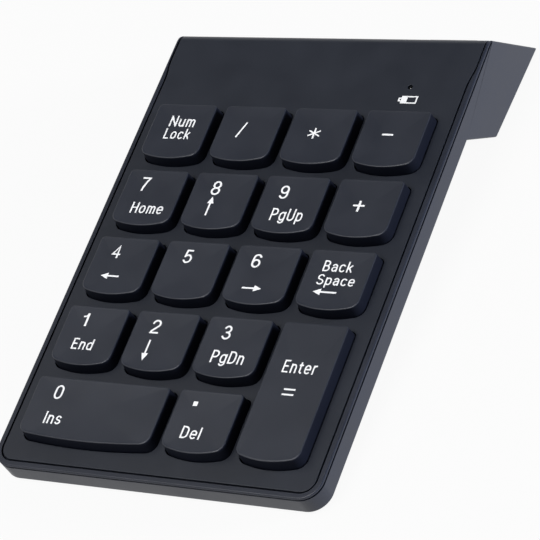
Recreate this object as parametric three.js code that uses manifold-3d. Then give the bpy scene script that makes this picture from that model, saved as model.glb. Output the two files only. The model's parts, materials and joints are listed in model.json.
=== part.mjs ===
// Wireless numeric keypad: a thin slab of island keys that leans forward off a raised battery block.
// Millimetres, +Z up. The keypad stands on z = 0, centred on the origin, with its rear towards +Y.
import * as THREE from "three";
import { mergeVertices } from "three/addons/utils/BufferGeometryUtils.js";
import Module from "manifold-3d";

const wasm = await Module();
wasm.setup();

// ---------------------------------------------------------------- driving dimensions
// The deck frame: x to the right, y along the slab to the rear, z square to the key plate.
// z = 0 is the plate's top face. y = 0 is the line where the first row of key cells starts.
const TILT = THREE.MathUtils.degToRad(6);
const WIDTH = 84.8;
const HALF = WIDTH / 2;
const FRONT = -97.7;
const REAR = 22.7;
const SLAB = 5.7;
const WALL = 1.5;
const CORNER = 5;
const REAR_EDGE_ROUND = 1.1;

// The block: a parallelogram under the slab's rear, its soles in the plane of the table.
const BLOCK_FRONT = -1.1;
const FRONT_LEAN = Math.tan(THREE.MathUtils.degToRad(39));
const REAR_LEAN = Math.tan(THREE.MathUtils.degToRad(33.5));
const BLOCK_WALL = 1.2;
const FOOT_PROUD = 0.6;

// Rim, groove and parting line round the plate. The rim thins towards the rear.
const RIM = 1.3;
const RIM_REAR = 0.6;
const GROOVE = 0.45;
const RIM_HEIGHT = 0.6;
const RIM_THIN_FROM = 9;
const RIM_THIN_TO = 16;
const TONGUE_INSET = 0.9;
const CORE_INSET = 1.8;
const TONGUE_END = -1.7;
const CORE_TOP = -1.6;
const SOCKET = { inset: 0.6, floor: -2 };
const PLATE = 0.8;
const PLATE_LIP = 1.3;
const LIP_FROM = 20.8;
const LIP_BEHIND = 0.9;
const SEAM = 0.15;
const GAP = 0.3;
const SLIP = 0.1;

// Keys.
const PITCH = 19;
const KEY_W = 16;
const KEY_L = 15.4;
const KEY_REAR = 0.2;
const KEY_BOW = 0.8;
const KEY_REAR_R = 0.8;
const KEY_FRONT_R = 2.4;
const KEY_RISE = 2.9;
const KEY_SKIRT = 0.5;
const KEY_FLARE = 0.55;
const KEY_WALL = 1;
const STEM_R = 2.2;
const STEM_END = -1.6;

// Key wells, guide sleeves and domes.
const WELL_FLOOR = -2.6;
const DECK_UNDER = -3.4;
const SLEEVE_R = 4.2;
const SLEEVE_TOP = -0.2;
const SLEEVE_BORE = 2.6;
const DOME_BORE = 3.6;
const DOME_R = 3.3;
const DOME_TOP_R = 2.2;
const DOME_TOP = -1.75;
const RUBBER = 0.6;
const ROUND = 8;
const FINE_ROUND = 12;
const KEY_SEGMENTS = 2;

// The stack under the wells, from the rubber sheet down to the case floor.
const RUBBER_TOP = DECK_UNDER - SLIP;
const RUBBER_UNDER = RUBBER_TOP - 0.3;
const MEMBRANE_TOP = RUBBER_UNDER - SLIP;
const MEMBRANE_UNDER = MEMBRANE_TOP - 0.2;
const STEEL_TOP = MEMBRANE_UNDER - SLIP;
const STEEL_UNDER = STEEL_TOP - 0.4;
const FLOOR_TOP = STEEL_UNDER - SLIP;
const SHEET_SIDE = 37;
const SHEET_FRONT = -92.3;
const SHEET_REAR = 1.6;

// Stabiliser wires of the two long keys.
const WIRE_R = 0.4;
const WIRE_HALF = 13;
const WIRE_BAR = 5.2;
const WIRE_BAR_Z = 0.6;
const WIRE_HOOK = -4.5;
const WIRE_HOOK_Z = -1.9;
const WIRE_TURN_IN = 2;
const ROD_SIDES = 6;
const ROD_OVERRUN = 1.4;
const KEY_LUG = { inboard: 4, half: 1, low: -0.4, behind: 1.2, ahead: 1.45 };
const KEY_LUG_SLOT = { behind: 0.7, ahead: 0.95, half: 0.7 };
const HOOK_LUG = { inner: 0.6, w: 1.6, half: 1.3, above: 1.2 };

// Battery bay, cells and door.
const BAY_LEFT = -33.6;
const BAY_RIGHT = 18.6;
const BAY_ROOF = -4.8;
const BAY_FRONT_TOP = -7;
const BAY_REAR_TOP = -6.2;
const BAY_ROOF_FROM = 6.2;
const BAY_ROOF_TO = 17;
const CEILING = { from: 3, over: 0.6 };
const PARTITION = 1.4;
const CELL_R = 5.2;
const CELL_LENGTH = 44.5;
const FRONT_CELL = { y: 11.4, z: -10.26 };
const REAR_CELL = { y: 22.2, z: -11.4 };
const BUTTON = { r: 1.9, l: 0.9, shoulder: 0.6, bevel: 0.5 };
const CELL_SEGMENTS = 20;
const CONTACT = 0.5;
const CELL_TO_CONTACT = 1.2;
const DIMPLE = { r: 1.8, top: 0.9, h: 1, root: 0.2 };
const SPRING = { turns: 3.5, length: 4.1, wide: 2.7, narrow: 1.6, wire: 0.3, steps: 32, root: 0.15 };
const BRIDGE = { y0: 7.8, y1: 25.8, z0: -13.6, z1: -8 };
const CONTACT_REACH = 3.2;
const POSITIVE = { z0: -13.4, z1: -7.2 };
const NEGATIVE = { z0: -14.6, z1: -8.4 };
const TAB = { half: 0.8, overlap: 0.2, above: 0.4 };
const TAB_PLACES = [FRONT_CELL.y, 18.4];
const DOOR = 1.4;
const DOOR_FRONT = 9.6;
const DOOR_TONGUE = 0.9;
const TONGUE = 0.55;

// Radio receiver and its bay.
const RECEIVER_X = 27.9;
const RECEIVER_Z = -10.5;
const RECEIVER_JOIN = 21.9;
const PLUG = { w: 12, h: 4.5, l: 12.3 };
const GRIP = { w: 14.6, h: 6, l: 6.6 };
const RECEIVER_WALL = 1;
const BAY_DEPTH_END = 9.3;
const SHEET = 0.3;
const WINDOW = { x: 2.5, half: 1.3, y0: -7.4, y1: -5.2 };
const TONGUE_BAR = { half: 5.3, back: 0.4, end: 1.8, low: 0.6, high: 2.5 };
const GRIP_ROUND = 1.4;
const SOCKET_DEPTH = 2.4;
const PLUG_IN_GRIP = 2;

// Circuit board and what it carries.
const BOARD = { x0: 3, x1: 36.5, y0: 3.2, y1: 20.2, top: -2.9, under: -3.7 };
const PARTS_ON = BOARD.top + SLIP;
const BOARD_ROOM = { from: 2.6, top: -1.7 };
const LOCATOR = { xs: [5.5, 16.5], y: 17.8, r: 0.9 };
const TAIL = { x0: 8, x1: 22, y1: 7 };
const CHIP = { x: 13, y: 11.5, w: 5, l: 5, h: 0.8 };
const CRYSTAL = { x: 21.8, y: 12, w: 2.5, l: 3.2, h: 0.7 };
const LIGHT = { x: 26.5, y: 9.1 };
const LED = { ...LIGHT, w: 1.6, l: 0.8, h: 0.6 };
const PIPE = { r: 0.7, tip: 0.35, low: -2.1, top: -0.25, room: 1 };
const PINHOLE_R = 0.55;
const SWITCH = { x: 30, half: 3.4, y0: 17.3, y1: 20, top: -1.4, room: 4 };
const SWITCH_SLOT = { half: 1.9, depth: 1.4, floor: 0.1, roof: 0.2 };
const LEVER = { half: 0.75, inside: 1.1, y1: 21.8, z0: -2.4, z1: -1.85 };
const KNOB = { half: 1.6, y0: 21.4, y1: 23.8, z0: -3.1, z1: -1.75 };
const KNOB_TRAVEL = 1.5;
const KNOB_ROOM = 1.1;

// Screws.
const SCREW_SIDE = 39.3;
const SCREWS = [
  [-24, -94.4],
  [24, -94.4],
  [-SCREW_SIDE, -46],
  [SCREW_SIDE, -46],
  [-SCREW_SIDE, -5.5],
  [SCREW_SIDE, -5.5],
];
const SCREW_R = 0.8;
const SCREW_BOSS_R = 1.9;
const SCREW_HEAD_R = 1.3;
const SCREW_HEAD = 0.7;
const SCREW_SEAT = -4.9;
const SCREW_END = -1.5;

// Feet: a plan rectangle, and for the front pair the level that its glued top and its recess stop at.
const FOOT_RECESS = 0.3;
const FEET = {
  foot_front_left: { x: -33, w: 10, y0: -94, y1: -89, top: -5.4 },
  foot_front_right: { x: 33, w: 10, y0: -94, y1: -89, top: -5.4 },
  foot_rear_left: { x: -38.9, w: 4.4, y0: 11, y1: 31 },
  foot_rear_right: { x: 38.9, w: 4.4, y0: 11, y1: 31 },
};

const FAR = 60;

// Each key by name, with the first column and row of its cell and the cells it spans.
const KEYS = [
  { name: "key_num_lock", col: 0, row: 0 },
  { name: "key_divide", col: 1, row: 0 },
  { name: "key_multiply", col: 2, row: 0 },
  { name: "key_minus", col: 3, row: 0 },
  { name: "key_7", col: 0, row: 1 },
  { name: "key_8", col: 1, row: 1 },
  { name: "key_9", col: 2, row: 1 },
  { name: "key_plus", col: 3, row: 1 },
  { name: "key_4", col: 0, row: 2 },
  { name: "key_5", col: 1, row: 2 },
  { name: "key_6", col: 2, row: 2 },
  { name: "key_backspace", col: 3, row: 2 },
  { name: "key_1", col: 0, row: 3 },
  { name: "key_2", col: 1, row: 3 },
  { name: "key_3", col: 2, row: 3 },
  { name: "key_enter", col: 3, row: 3, tall: true },
  { name: "key_0", col: 0, row: 4, wide: true },
  { name: "key_decimal", col: 2, row: 4 },
];

for (const key of KEYS) {
  key.w = KEY_W + (key.wide ? PITCH : 0);
  key.l = KEY_L + (key.tall ? PITCH : 0);
  key.x = (key.col - 1.5 + (key.wide ? 0.5 : 0)) * PITCH;
  key.y = KEY_REAR - key.row * PITCH - key.l / 2;
}

// ---------------------------------------------------------------- finishes
const FINISH = {
  plate: { color: 0x34363f, roughness: 0.55, metalness: 0 },
  casing: { color: 0x3a3c46, roughness: 0.5, metalness: 0 },
  keycap: { color: 0x363842, roughness: 0.5, metalness: 0 },
  rubber: { color: 0x18191b, roughness: 0.9, metalness: 0 },
  silicone: { color: 0xb9bec2, roughness: 0.6, metalness: 0 },
  film: { color: 0xc9d6d8, roughness: 0.3, metalness: 0 },
  steel: { color: 0xb8babd, roughness: 0.35, metalness: 1 },
  board: { color: 0x14532f, roughness: 0.5, metalness: 0 },
  chip: { color: 0x111214, roughness: 0.45, metalness: 0 },
  clear: { color: 0xe6eef0, roughness: 0.15, metalness: 0 },
  cell: { color: 0x6f7f52, roughness: 0.35, metalness: 0.3 },
  insulator: { color: 0xe8e8e4, roughness: 0.5, metalness: 0 },
  grip: { color: 0x17191d, roughness: 0.4, metalness: 0 },
};

// ---------------------------------------------------------------- joining and cutting
function solid(geometry) {
  const bare = new THREE.BufferGeometry().setAttribute("position", geometry.getAttribute("position"));
  bare.setIndex(geometry.index);
  const merged = mergeVertices(bare, 1e-4);
  const mesh = new wasm.Mesh({
    numProp: 3,
    vertProperties: merged.attributes.position.array,
    triVerts: new Uint32Array(merged.index.array),
  });
  return new wasm.Manifold(mesh);
}

function surface(body) {
  const mesh = body.getMesh();
  const geometry = new THREE.BufferGeometry();
  geometry.setAttribute("position", new THREE.BufferAttribute(mesh.vertProperties, mesh.numProp));
  geometry.setIndex(new THREE.BufferAttribute(mesh.triVerts, 1));
  geometry.computeVertexNormals();
  return geometry;
}

function join(bodies) {
  return bodies.reduce((whole, body) => whole.add(body));
}

function cut(body, tools) {
  return tools.reduce((rest, tool) => rest.subtract(tool), body);
}

// ---------------------------------------------------------------- basic solids
function block(x0, x1, y0, y1, z0, z1) {
  const geometry = new THREE.BoxGeometry(x1 - x0, y1 - y0, z1 - z0);
  return solid(geometry.translate((x0 + x1) / 2, (y0 + y1) / 2, (z0 + z1) / 2));
}

// A plan outline raised from z0 to z1.
function prism(shape, z0, z1, curveSegments = 5) {
  const geometry = new THREE.ExtrudeGeometry(shape, { depth: z1 - z0, bevelEnabled: false, curveSegments });
  return solid(geometry.translate(0, 0, z0));
}

// An outline in (y, z), run from x0 to x1.
function run(shape, x0, x1) {
  const options = { depth: x1 - x0, bevelEnabled: false, curveSegments: 4 };
  const geometry = new THREE.ExtrudeGeometry(shape, options);
  const turn = new THREE.Matrix4().makeBasis(
    new THREE.Vector3(0, 1, 0),
    new THREE.Vector3(0, 0, 1),
    new THREE.Vector3(1, 0, 0),
  );
  return solid(geometry.applyMatrix4(turn).translate(x0, 0, 0));
}

function polygon(points) {
  return new THREE.Shape(points.map(([a, b]) => new THREE.Vector2(a, b)));
}

function rectangle(x0, x1, y0, y1) {
  return polygon([
    [x0, y0],
    [x1, y0],
    [x1, y1],
    [x0, y1],
  ]);
}

// A turned solid standing along z at (x, y); the profile is a list of [radius, height].
function turned(profile, x = 0, y = 0, segments = ROUND) {
  const points = profile.map(([r, z]) => new THREE.Vector2(r, z));
  const geometry = new THREE.LatheGeometry(points, segments);
  return solid(geometry.rotateX(Math.PI / 2).translate(x, y, 0));
}

function post(x, y, r, z0, z1, segments = ROUND) {
  const profile = [
    [0, z0],
    [r, z0],
    [r, z1],
    [0, z1],
  ];
  return turned(profile, x, y, segments);
}

// A rod between two points, run on past both by most of its radius so that rods meet in closed bends.
function rod(from, to, r) {
  const a = new THREE.Vector3(...from);
  const b = new THREE.Vector3(...to);
  const along = new THREE.Vector3().subVectors(b, a);
  const direction = along.clone().normalize();
  const turn = new THREE.Quaternion().setFromUnitVectors(new THREE.Vector3(0, 1, 0), direction);
  const bar = new THREE.CylinderGeometry(r, r, along.length() + ROD_OVERRUN * r, ROD_SIDES);
  const middle = a.add(b).multiplyScalar(0.5);
  return solid(bar.applyQuaternion(turn).translate(...middle.toArray()));
}

// ---------------------------------------------------------------- outlines of the case
// Height of the underside plane, which the block's sole and the slab's front edge share.
function underside(y) {
  return -SLAB - (y - FRONT) * Math.tan(TILT);
}

// The block's front and rear faces as y at a height, moved inwards by a wall measured square to the face.
function blockFront(z, wall = 0) {
  return BLOCK_FRONT + (-SLAB - z) * FRONT_LEAN + wall * Math.hypot(1, FRONT_LEAN);
}

function blockRear(z, wall = 0) {
  return REAR - z * REAR_LEAN - wall * Math.hypot(1, REAR_LEAN);
}

// Where the two leaning faces meet the underside plane.
const SOLE_FRONT_DROP = ((BLOCK_FRONT - FRONT) * Math.tan(TILT)) / (1 - FRONT_LEAN * Math.tan(TILT));
const SOLE_FRONT = { y: blockFront(-SLAB - SOLE_FRONT_DROP), z: -SLAB - SOLE_FRONT_DROP };
const SOLE_REAR_DROP = (SLAB + (REAR - FRONT) * Math.tan(TILT)) / (1 - REAR_LEAN * Math.tan(TILT));
const SOLE_REAR = { y: blockRear(-SOLE_REAR_DROP), z: -SOLE_REAR_DROP };

// Side view of the whole case, with the rear top edge rounded over.
function bodyProfile() {
  const lean = Math.hypot(1, REAR_LEAN);
  const shape = new THREE.Shape();
  shape.moveTo(FRONT, 0);
  shape.lineTo(FRONT, -SLAB);
  shape.lineTo(BLOCK_FRONT, -SLAB);
  shape.lineTo(SOLE_FRONT.y, SOLE_FRONT.z);
  shape.lineTo(SOLE_REAR.y, SOLE_REAR.z);
  shape.lineTo(REAR + (REAR_EDGE_ROUND * REAR_LEAN) / lean, -REAR_EDGE_ROUND / lean);
  shape.quadraticCurveTo(REAR, 0, REAR - REAR_EDGE_ROUND, 0);
  return shape;
}

// Plan outline set in from the case's outside: round front corners, sides that may step out near the rear.
function panel(inset, rearInset, rear) {
  const side = HALF - inset;
  const rearSide = HALF - rearInset;
  const front = FRONT + inset;
  const radius = CORNER - inset;
  const middle = (RIM_THIN_FROM + RIM_THIN_TO) / 2;
  const shape = new THREE.Shape();
  shape.moveTo(-rearSide, rear);
  if (rearInset !== inset) {
    shape.lineTo(-rearSide, RIM_THIN_TO);
    shape.bezierCurveTo(-rearSide, middle, -side, middle, -side, RIM_THIN_FROM);
  }
  shape.lineTo(-side, front + radius);
  shape.absarc(-side + radius, front + radius, radius, Math.PI, 1.5 * Math.PI, false);
  shape.absarc(side - radius, front + radius, radius, 1.5 * Math.PI, 2 * Math.PI, false);
  if (rearInset !== inset) {
    shape.lineTo(side, RIM_THIN_FROM);
    shape.bezierCurveTo(side, middle, rearSide, middle, rearSide, RIM_THIN_TO);
  }
  shape.lineTo(rearSide, rear);
  return shape;
}

function envelope() {
  return run(bodyProfile(), -HALF, HALF).intersect(prism(panel(0, 0, FAR), -FAR, SLAB));
}

// ---------------------------------------------------------------- keys
// Plan outline of a key top about its own centre: small rear corners, round front corners, and a
// bowed front edge.
function keyOutline(w, l, grow = 0) {
  const x = w / 2 + grow;
  const rear = l / 2 + grow;
  const front = -l / 2 - grow + KEY_BOW;
  const rearR = grow < 0 ? KEY_REAR_R / 2 : KEY_REAR_R;
  const frontR = KEY_FRONT_R + grow / 2;
  const shape = new THREE.Shape();
  shape.moveTo(-x, rear - rearR);
  shape.lineTo(-x, front + frontR);
  shape.absarc(-x + frontR, front + frontR, frontR, Math.PI, 1.5 * Math.PI, false);
  shape.quadraticCurveTo(0, front - 2 * KEY_BOW, x - frontR, front);
  shape.absarc(x - frontR, front + frontR, frontR, 1.5 * Math.PI, 2 * Math.PI, false);
  shape.lineTo(x, rear - rearR);
  shape.lineTo(x - rearR, rear);
  shape.lineTo(-x + rearR, rear);
  return shape;
}

// The cap's outside leans out by the flare from its top down to the skirt's lower edge.
function keyOutside(w, l) {
  const height = KEY_RISE + KEY_SKIRT;
  const geometry = new THREE.ExtrudeGeometry(keyOutline(w, l), {
    depth: height,
    bevelEnabled: false,
    curveSegments: KEY_SEGMENTS,
  });
  const at = geometry.getAttribute("position");
  for (let i = 0; i < at.count; i++) {
    const flare = KEY_FLARE * (1 - at.getZ(i) / height);
    at.setX(i, at.getX(i) * (1 + (2 * flare) / w));
    at.setY(i, at.getY(i) * (1 + (2 * flare) / l));
  }
  return solid(geometry.translate(0, 0, -KEY_SKIRT));
}

// Lugs under a long key, each with a slot that the stabiliser's bar slides in.
function wireLugs(long) {
  const lugs = [-1, 1].map((side) => {
    const at = side * (WIRE_HALF - KEY_LUG.inboard);
    return block(
      at - KEY_LUG.half,
      at + KEY_LUG.half,
      WIRE_BAR - KEY_LUG.behind,
      WIRE_BAR + KEY_LUG.ahead,
      KEY_LUG.low,
      KEY_RISE,
    );
  });
  const slot = block(
    -FAR,
    FAR,
    WIRE_BAR - KEY_LUG_SLOT.behind,
    WIRE_BAR + KEY_LUG_SLOT.ahead,
    WIRE_BAR_Z - KEY_LUG_SLOT.half,
    WIRE_BAR_Z + KEY_LUG_SLOT.half,
  );
  const pair = join(lugs).subtract(slot);
  return long === "x" ? pair : solid(surface(pair).rotateZ(-Math.PI / 2));
}

function keycap(key) {
  const roof = KEY_RISE - KEY_WALL;
  const hollow = prism(keyOutline(key.w, key.l, -KEY_WALL), -FAR, roof, KEY_SEGMENTS);
  const shell = keyOutside(key.w, key.l).subtract(hollow);
  const middle = KEY_RISE - KEY_WALL / 2;
  const body = shell.add(post(0, 0, STEM_R, STEM_END, middle));
  if (!key.wide && !key.tall) return body;
  const above = block(-FAR, FAR, -FAR, FAR, middle, FAR);
  return body.add(wireLugs(key.wide ? "x" : "y").subtract(above));
}

// The hole that a key moves in, as a solid at the key's place.
function keyHole(key, z0, z1) {
  const geometry = new THREE.ExtrudeGeometry(keyOutline(key.w, key.l, KEY_FLARE + GAP), {
    depth: z1 - z0,
    bevelEnabled: false,
    curveSegments: KEY_SEGMENTS,
  });
  return solid(geometry.translate(key.x, key.y, z0));
}

// ---------------------------------------------------------------- stabiliser wires
// A wire lies along x at its own place; the tall key's wire is the same one turned a quarter.
function stabiliser() {
  const bar = [-WIRE_HALF, WIRE_BAR, WIRE_BAR_Z];
  const barEnd = [WIRE_HALF, WIRE_BAR, WIRE_BAR_Z];
  const hook = [-WIRE_HALF, WIRE_HOOK, WIRE_HOOK_Z];
  const hookEnd = [WIRE_HALF, WIRE_HOOK, WIRE_HOOK_Z];
  const left = [-WIRE_HALF + WIRE_TURN_IN, WIRE_HOOK, WIRE_HOOK_Z];
  const right = [WIRE_HALF - WIRE_TURN_IN, WIRE_HOOK, WIRE_HOOK_Z];
  const legs = [
    [bar, barEnd],
    [bar, hook],
    [barEnd, hookEnd],
    [hook, left],
    [hookEnd, right],
  ];
  return join(legs.map(([from, to]) => rod(from, to, WIRE_R)));
}

// Lugs on the well floor that hold the wire's two hooked ends.
function hookLugs() {
  const lugs = [-1, 1].map((side) => {
    const inner = side * (WIRE_HALF - WIRE_TURN_IN - HOOK_LUG.inner);
    const x0 = Math.min(inner, inner + side * HOOK_LUG.w);
    return block(
      x0,
      x0 + HOOK_LUG.w,
      WIRE_HOOK - HOOK_LUG.half,
      WIRE_HOOK + HOOK_LUG.half,
      DECK_UNDER + SLIP,
      WIRE_HOOK_Z + HOOK_LUG.above,
    );
  });
  const bore = new THREE.CylinderGeometry(WIRE_R + GAP, WIRE_R + GAP, 4 * WIRE_HALF, ROUND);
  const drill = solid(bore.rotateZ(Math.PI / 2).translate(0, WIRE_HOOK, WIRE_HOOK_Z));
  return join(lugs).subtract(drill);
}

// ---------------------------------------------------------------- casing
function coverPlate(outside) {
  const inset = RIM + GROOVE;
  const rearInset = RIM_REAR + GROOVE;
  const sheet = prism(panel(inset, rearInset, FAR), -PLATE, SLAB);
  const lip = block(-HALF + rearInset, HALF - rearInset, LIP_FROM, FAR, -PLATE_LIP, SLAB);
  const below = block(-FAR, FAR, REAR - LIP_BEHIND, FAR, -FAR, -PLATE_LIP);
  const body = sheet.add(lip).intersect(outside).subtract(below);
  const holes = KEYS.map((key) => keyHole(key, -SLAB, SLAB));
  return cut(body, [...holes, post(LIGHT.x, LIGHT.y, PINHOLE_R, -SLAB, SLAB, FINE_ROUND)]);
}

// Guide sleeve of one key: a narrow bore for the stem above a wide bore for the dome.
function sleeve(key) {
  return post(key.x, key.y, SLEEVE_R, DECK_UNDER + SLIP, SLEEVE_TOP);
}

function sleeveBore(key) {
  const step = DOME_TOP + SEAM;
  return turned(
    [
      [0, DECK_UNDER - 1],
      [DOME_BORE, DECK_UNDER - 1],
      [DOME_BORE, step],
      [SLEEVE_BORE, step],
      [SLEEVE_BORE, 1],
      [0, 1],
    ],
    key.x,
    key.y,
  );
}

function upperCase(outside) {
  const rear = LIP_FROM - GAP;
  const ring = prism(panel(0, 0, FAR), -RIM_HEIGHT, SLAB).intersect(outside);
  const tongue = prism(panel(TONGUE_INSET, TONGUE_INSET, rear), TONGUE_END, -RIM_HEIGHT + SLIP);
  const core = prism(panel(CORE_INSET, CORE_INSET, rear), DECK_UNDER, CORE_TOP);
  const recess = prism(panel(RIM, RIM_REAR, FAR), -PLATE - SEAM, SLAB);
  const boardRoom = block(-SHEET_SIDE, SHEET_SIDE, BOARD_ROOM.from, FAR, -SLAB, BOARD_ROOM.top);
  const switchRoom = block(
    SWITCH.x - SWITCH.room,
    SWITCH.x + SWITCH.room,
    SWITCH.y0 - 0.5,
    FAR,
    -SLAB,
    SLAB,
  );
  const shell = cut(join([ring, tongue, core]), [
    recess,
    boardRoom,
    switchRoom,
    post(LIGHT.x, LIGHT.y, PIPE.room, -FAR, SLAB, FINE_ROUND),
    ...SCREWS.map(([x, y]) => post(x, y, SCREW_R + GAP, -FAR, SCREW_END + 2 * SLIP)),
    ...KEYS.map((key) => keyHole(key, WELL_FLOOR, SLAB)),
  ]);
  const wide = KEYS.find((key) => key.wide);
  const tall = KEYS.find((key) => key.tall);
  const lugs = [
    solid(surface(hookLugs()).translate(wide.x, wide.y, 0)),
    solid(surface(hookLugs()).rotateZ(-Math.PI / 2).translate(tall.x, tall.y, 0)),
  ];
  return cut(join([shell, ...KEYS.map(sleeve), ...lugs]), KEYS.map(sleeveBore));
}

// Inside of the block between two x planes, from a roof height down to a floor measured up from the sole.
function blockRoom(x0, x1, roof, floor) {
  const low = floor / Math.cos(TILT);
  const shape = polygon([
    [blockFront(roof, BLOCK_WALL), roof],
    [blockFront(SOLE_FRONT.z + floor, BLOCK_WALL), underside(SOLE_FRONT.y) + low],
    [blockRear(SOLE_REAR.z + floor, BLOCK_WALL), underside(SOLE_REAR.y) + low],
    [blockRear(roof, BLOCK_WALL), roof],
  ]);
  return run(shape, x0, x1);
}

// The battery bay: its roof is raised only over the cells, so that the case floor stays whole round it.
function batteryBay() {
  const shape = polygon([
    [blockFront(BAY_FRONT_TOP, BLOCK_WALL), BAY_FRONT_TOP],
    [blockFront(SOLE_FRONT.z + DOOR, BLOCK_WALL), SOLE_FRONT.z + DOOR],
    [blockRear(SOLE_REAR.z + DOOR, BLOCK_WALL), SOLE_REAR.z + DOOR],
    [blockRear(BAY_REAR_TOP, BLOCK_WALL), BAY_REAR_TOP],
    [BAY_ROOF_TO, BAY_ROOF],
    [BAY_ROOF_FROM, BAY_ROOF],
  ]);
  return run(shape, BAY_LEFT, BAY_RIGHT);
}

// A layer of the sole between two heights above the underside plane.
function soleLayer(x0, x1, y0, y1, low, high) {
  const shape = polygon([
    [y0, underside(y0) + low],
    [y1, underside(y1) + low],
    [y1, underside(y1) + high],
    [y0, underside(y0) + high],
  ]);
  return run(shape, x0, x1);
}

const DOOR_LEFT = BAY_LEFT + GAP;
const DOOR_RIGHT = BAY_RIGHT - GAP;

function doorOpening() {
  const mouth = soleLayer(BAY_LEFT, BAY_RIGHT, DOOR_FRONT - GAP, FAR, -FAR, DOOR + GAP);
  const rails = soleLayer(
    BAY_LEFT - DOOR_TONGUE,
    BAY_RIGHT + DOOR_TONGUE,
    DOOR_FRONT - GAP,
    FAR,
    DOOR - TONGUE - GAP,
    DOOR + GAP,
  );
  return mouth.add(rails);
}

function batteryDoor(outside) {
  const panelBody = soleLayer(DOOR_LEFT, DOOR_RIGHT, DOOR_FRONT, FAR, -1, DOOR);
  const tongues = soleLayer(
    DOOR_LEFT - DOOR_TONGUE,
    DOOR_RIGHT + DOOR_TONGUE,
    DOOR_FRONT,
    FAR,
    DOOR - TONGUE,
    DOOR,
  );
  return panelBody.add(tongues).intersect(outside);
}

// A foot's solid, or with some growth and lift the recess that it is glued into.
function footBody(foot, grow, lift) {
  const low = -FOOT_PROUD / Math.cos(TILT);
  const x0 = foot.x - foot.w / 2 - grow;
  const x1 = foot.x + foot.w / 2 + grow;
  const pad = soleLayer(x0, x1, foot.y0 - grow, foot.y1 + grow, low, DECK_UNDER - SOLE_REAR.z);
  if (foot.top === undefined) {
    return pad.intersect(soleLayer(-FAR, FAR, -FAR, FAR, -FAR, FOOT_RECESS + lift));
  }
  return pad.intersect(block(-FAR, FAR, -2 * FAR, FAR, -FAR, foot.top + lift));
}

// Slot for the tab of a contact that stands through the ceiling and the board.
function tabSlot(y, grow) {
  const x0 = BAY_RIGHT - BLOCK_WALL - grow;
  return block(x0, BAY_RIGHT + grow, y - TAB.half - GAP - grow, y + TAB.half + GAP + grow, -FAR, FAR);
}

// Room of the receiver inside the block, grown all round by a clearance or a wall.
function receiverRoom(grow, front) {
  return block(
    RECEIVER_X - GRIP.w / 2 - grow,
    RECEIVER_X + GRIP.w / 2 + grow,
    front,
    FAR,
    RECEIVER_Z - GRIP.h / 2 - grow,
    RECEIVER_Z + GRIP.h / 2 + grow,
  );
}

function lowerCase(outside) {
  const shell = cut(outside, [
    block(-FAR, FAR, -2 * FAR, FAR, -RIM_HEIGHT - SEAM, FAR),
    block(-HALF + RIM_REAR, HALF - RIM_REAR, LIP_FROM - GAP, FAR, -PLATE_LIP - GAP, FAR),
    prism(panel(SOCKET.inset, SOCKET.inset, LIP_FROM), SOCKET.floor, FAR),
    prism(panel(WALL, WALL, LIP_FROM), FLOOR_TOP, FAR),
    blockRoom(-HALF + WALL, BAY_LEFT - PARTITION, FLOOR_TOP + 2 * SLIP, PARTITION),
    blockRoom(BAY_RIGHT + PARTITION, HALF - WALL, FLOOR_TOP + 2 * SLIP, PARTITION),
  ]);
  const bosses = SCREWS.map(([x, y]) => {
    return post(x, y, SCREW_BOSS_R, -SLAB + 2 * SLIP, DECK_UNDER - 2 * SLIP);
  });
  const receiverBox = receiverRoom(GAP + RECEIVER_WALL, BAY_DEPTH_END - BLOCK_WALL).intersect(outside);
  const ceiling = block(
    BAY_LEFT - BLOCK_WALL,
    BAY_RIGHT + BLOCK_WALL,
    CEILING.from,
    LIP_FROM + SLIP,
    -SLAB,
    BAY_ROOF + CEILING.over,
  );
  const locators = LOCATOR.xs.map((x) => {
    return post(x, LOCATOR.y, LOCATOR.r, BAY_ROOF + 2 * SLIP, BOARD.top + 0.5);
  });
  const knobRoom = block(
    SWITCH.x - KNOB.half - KNOB_ROOM,
    SWITCH.x + KNOB.half + KNOB_ROOM,
    LIP_FROM - 1,
    FAR,
    BOARD.top - 0.5,
    FAR,
  );
  return cut(join([shell, ...bosses, receiverBox, ceiling, ...locators]), [
    batteryBay(),
    doorOpening(),
    receiverRoom(GAP, BAY_DEPTH_END),
    knobRoom,
    ...SCREWS.map(([x, y]) => post(x, y, SCREW_R + GAP, -FAR, FAR)),
    ...SCREWS.map(([x, y]) => post(x, y, SCREW_HEAD_R + 2 * SLIP, -FAR, SCREW_SEAT)),
    ...TAB_PLACES.map((y) => tabSlot(y, 0)),
    ...Object.values(FEET).map((foot) => footBody(foot, GAP, SLIP)),
  ]);
}

// ---------------------------------------------------------------- sheets under the keys
function sheetOutline() {
  return rectangle(-SHEET_SIDE, SHEET_SIDE, SHEET_FRONT, SHEET_REAR);
}

// The same turned profile at every key's centre.
function atEveryKey(profile) {
  return KEYS.map((key) => turned(profile, key.x, key.y));
}

function domeSheet() {
  const domes = atEveryKey([
    [0, RUBBER_UNDER + SLIP],
    [DOME_R, RUBBER_UNDER + SLIP],
    [DOME_R, RUBBER_TOP + SLIP],
    [DOME_TOP_R, DOME_TOP],
    [0, DOME_TOP],
  ]);
  const hollows = atEveryKey([
    [0, RUBBER_UNDER - 1],
    [DOME_R - RUBBER, RUBBER_UNDER - 1],
    [DOME_R - RUBBER, RUBBER_TOP],
    [DOME_TOP_R - RUBBER, DOME_TOP - RUBBER],
    [0, DOME_TOP - RUBBER],
  ]);
  return cut(join([prism(sheetOutline(), RUBBER_UNDER, RUBBER_TOP), ...domes]), hollows);
}

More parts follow.
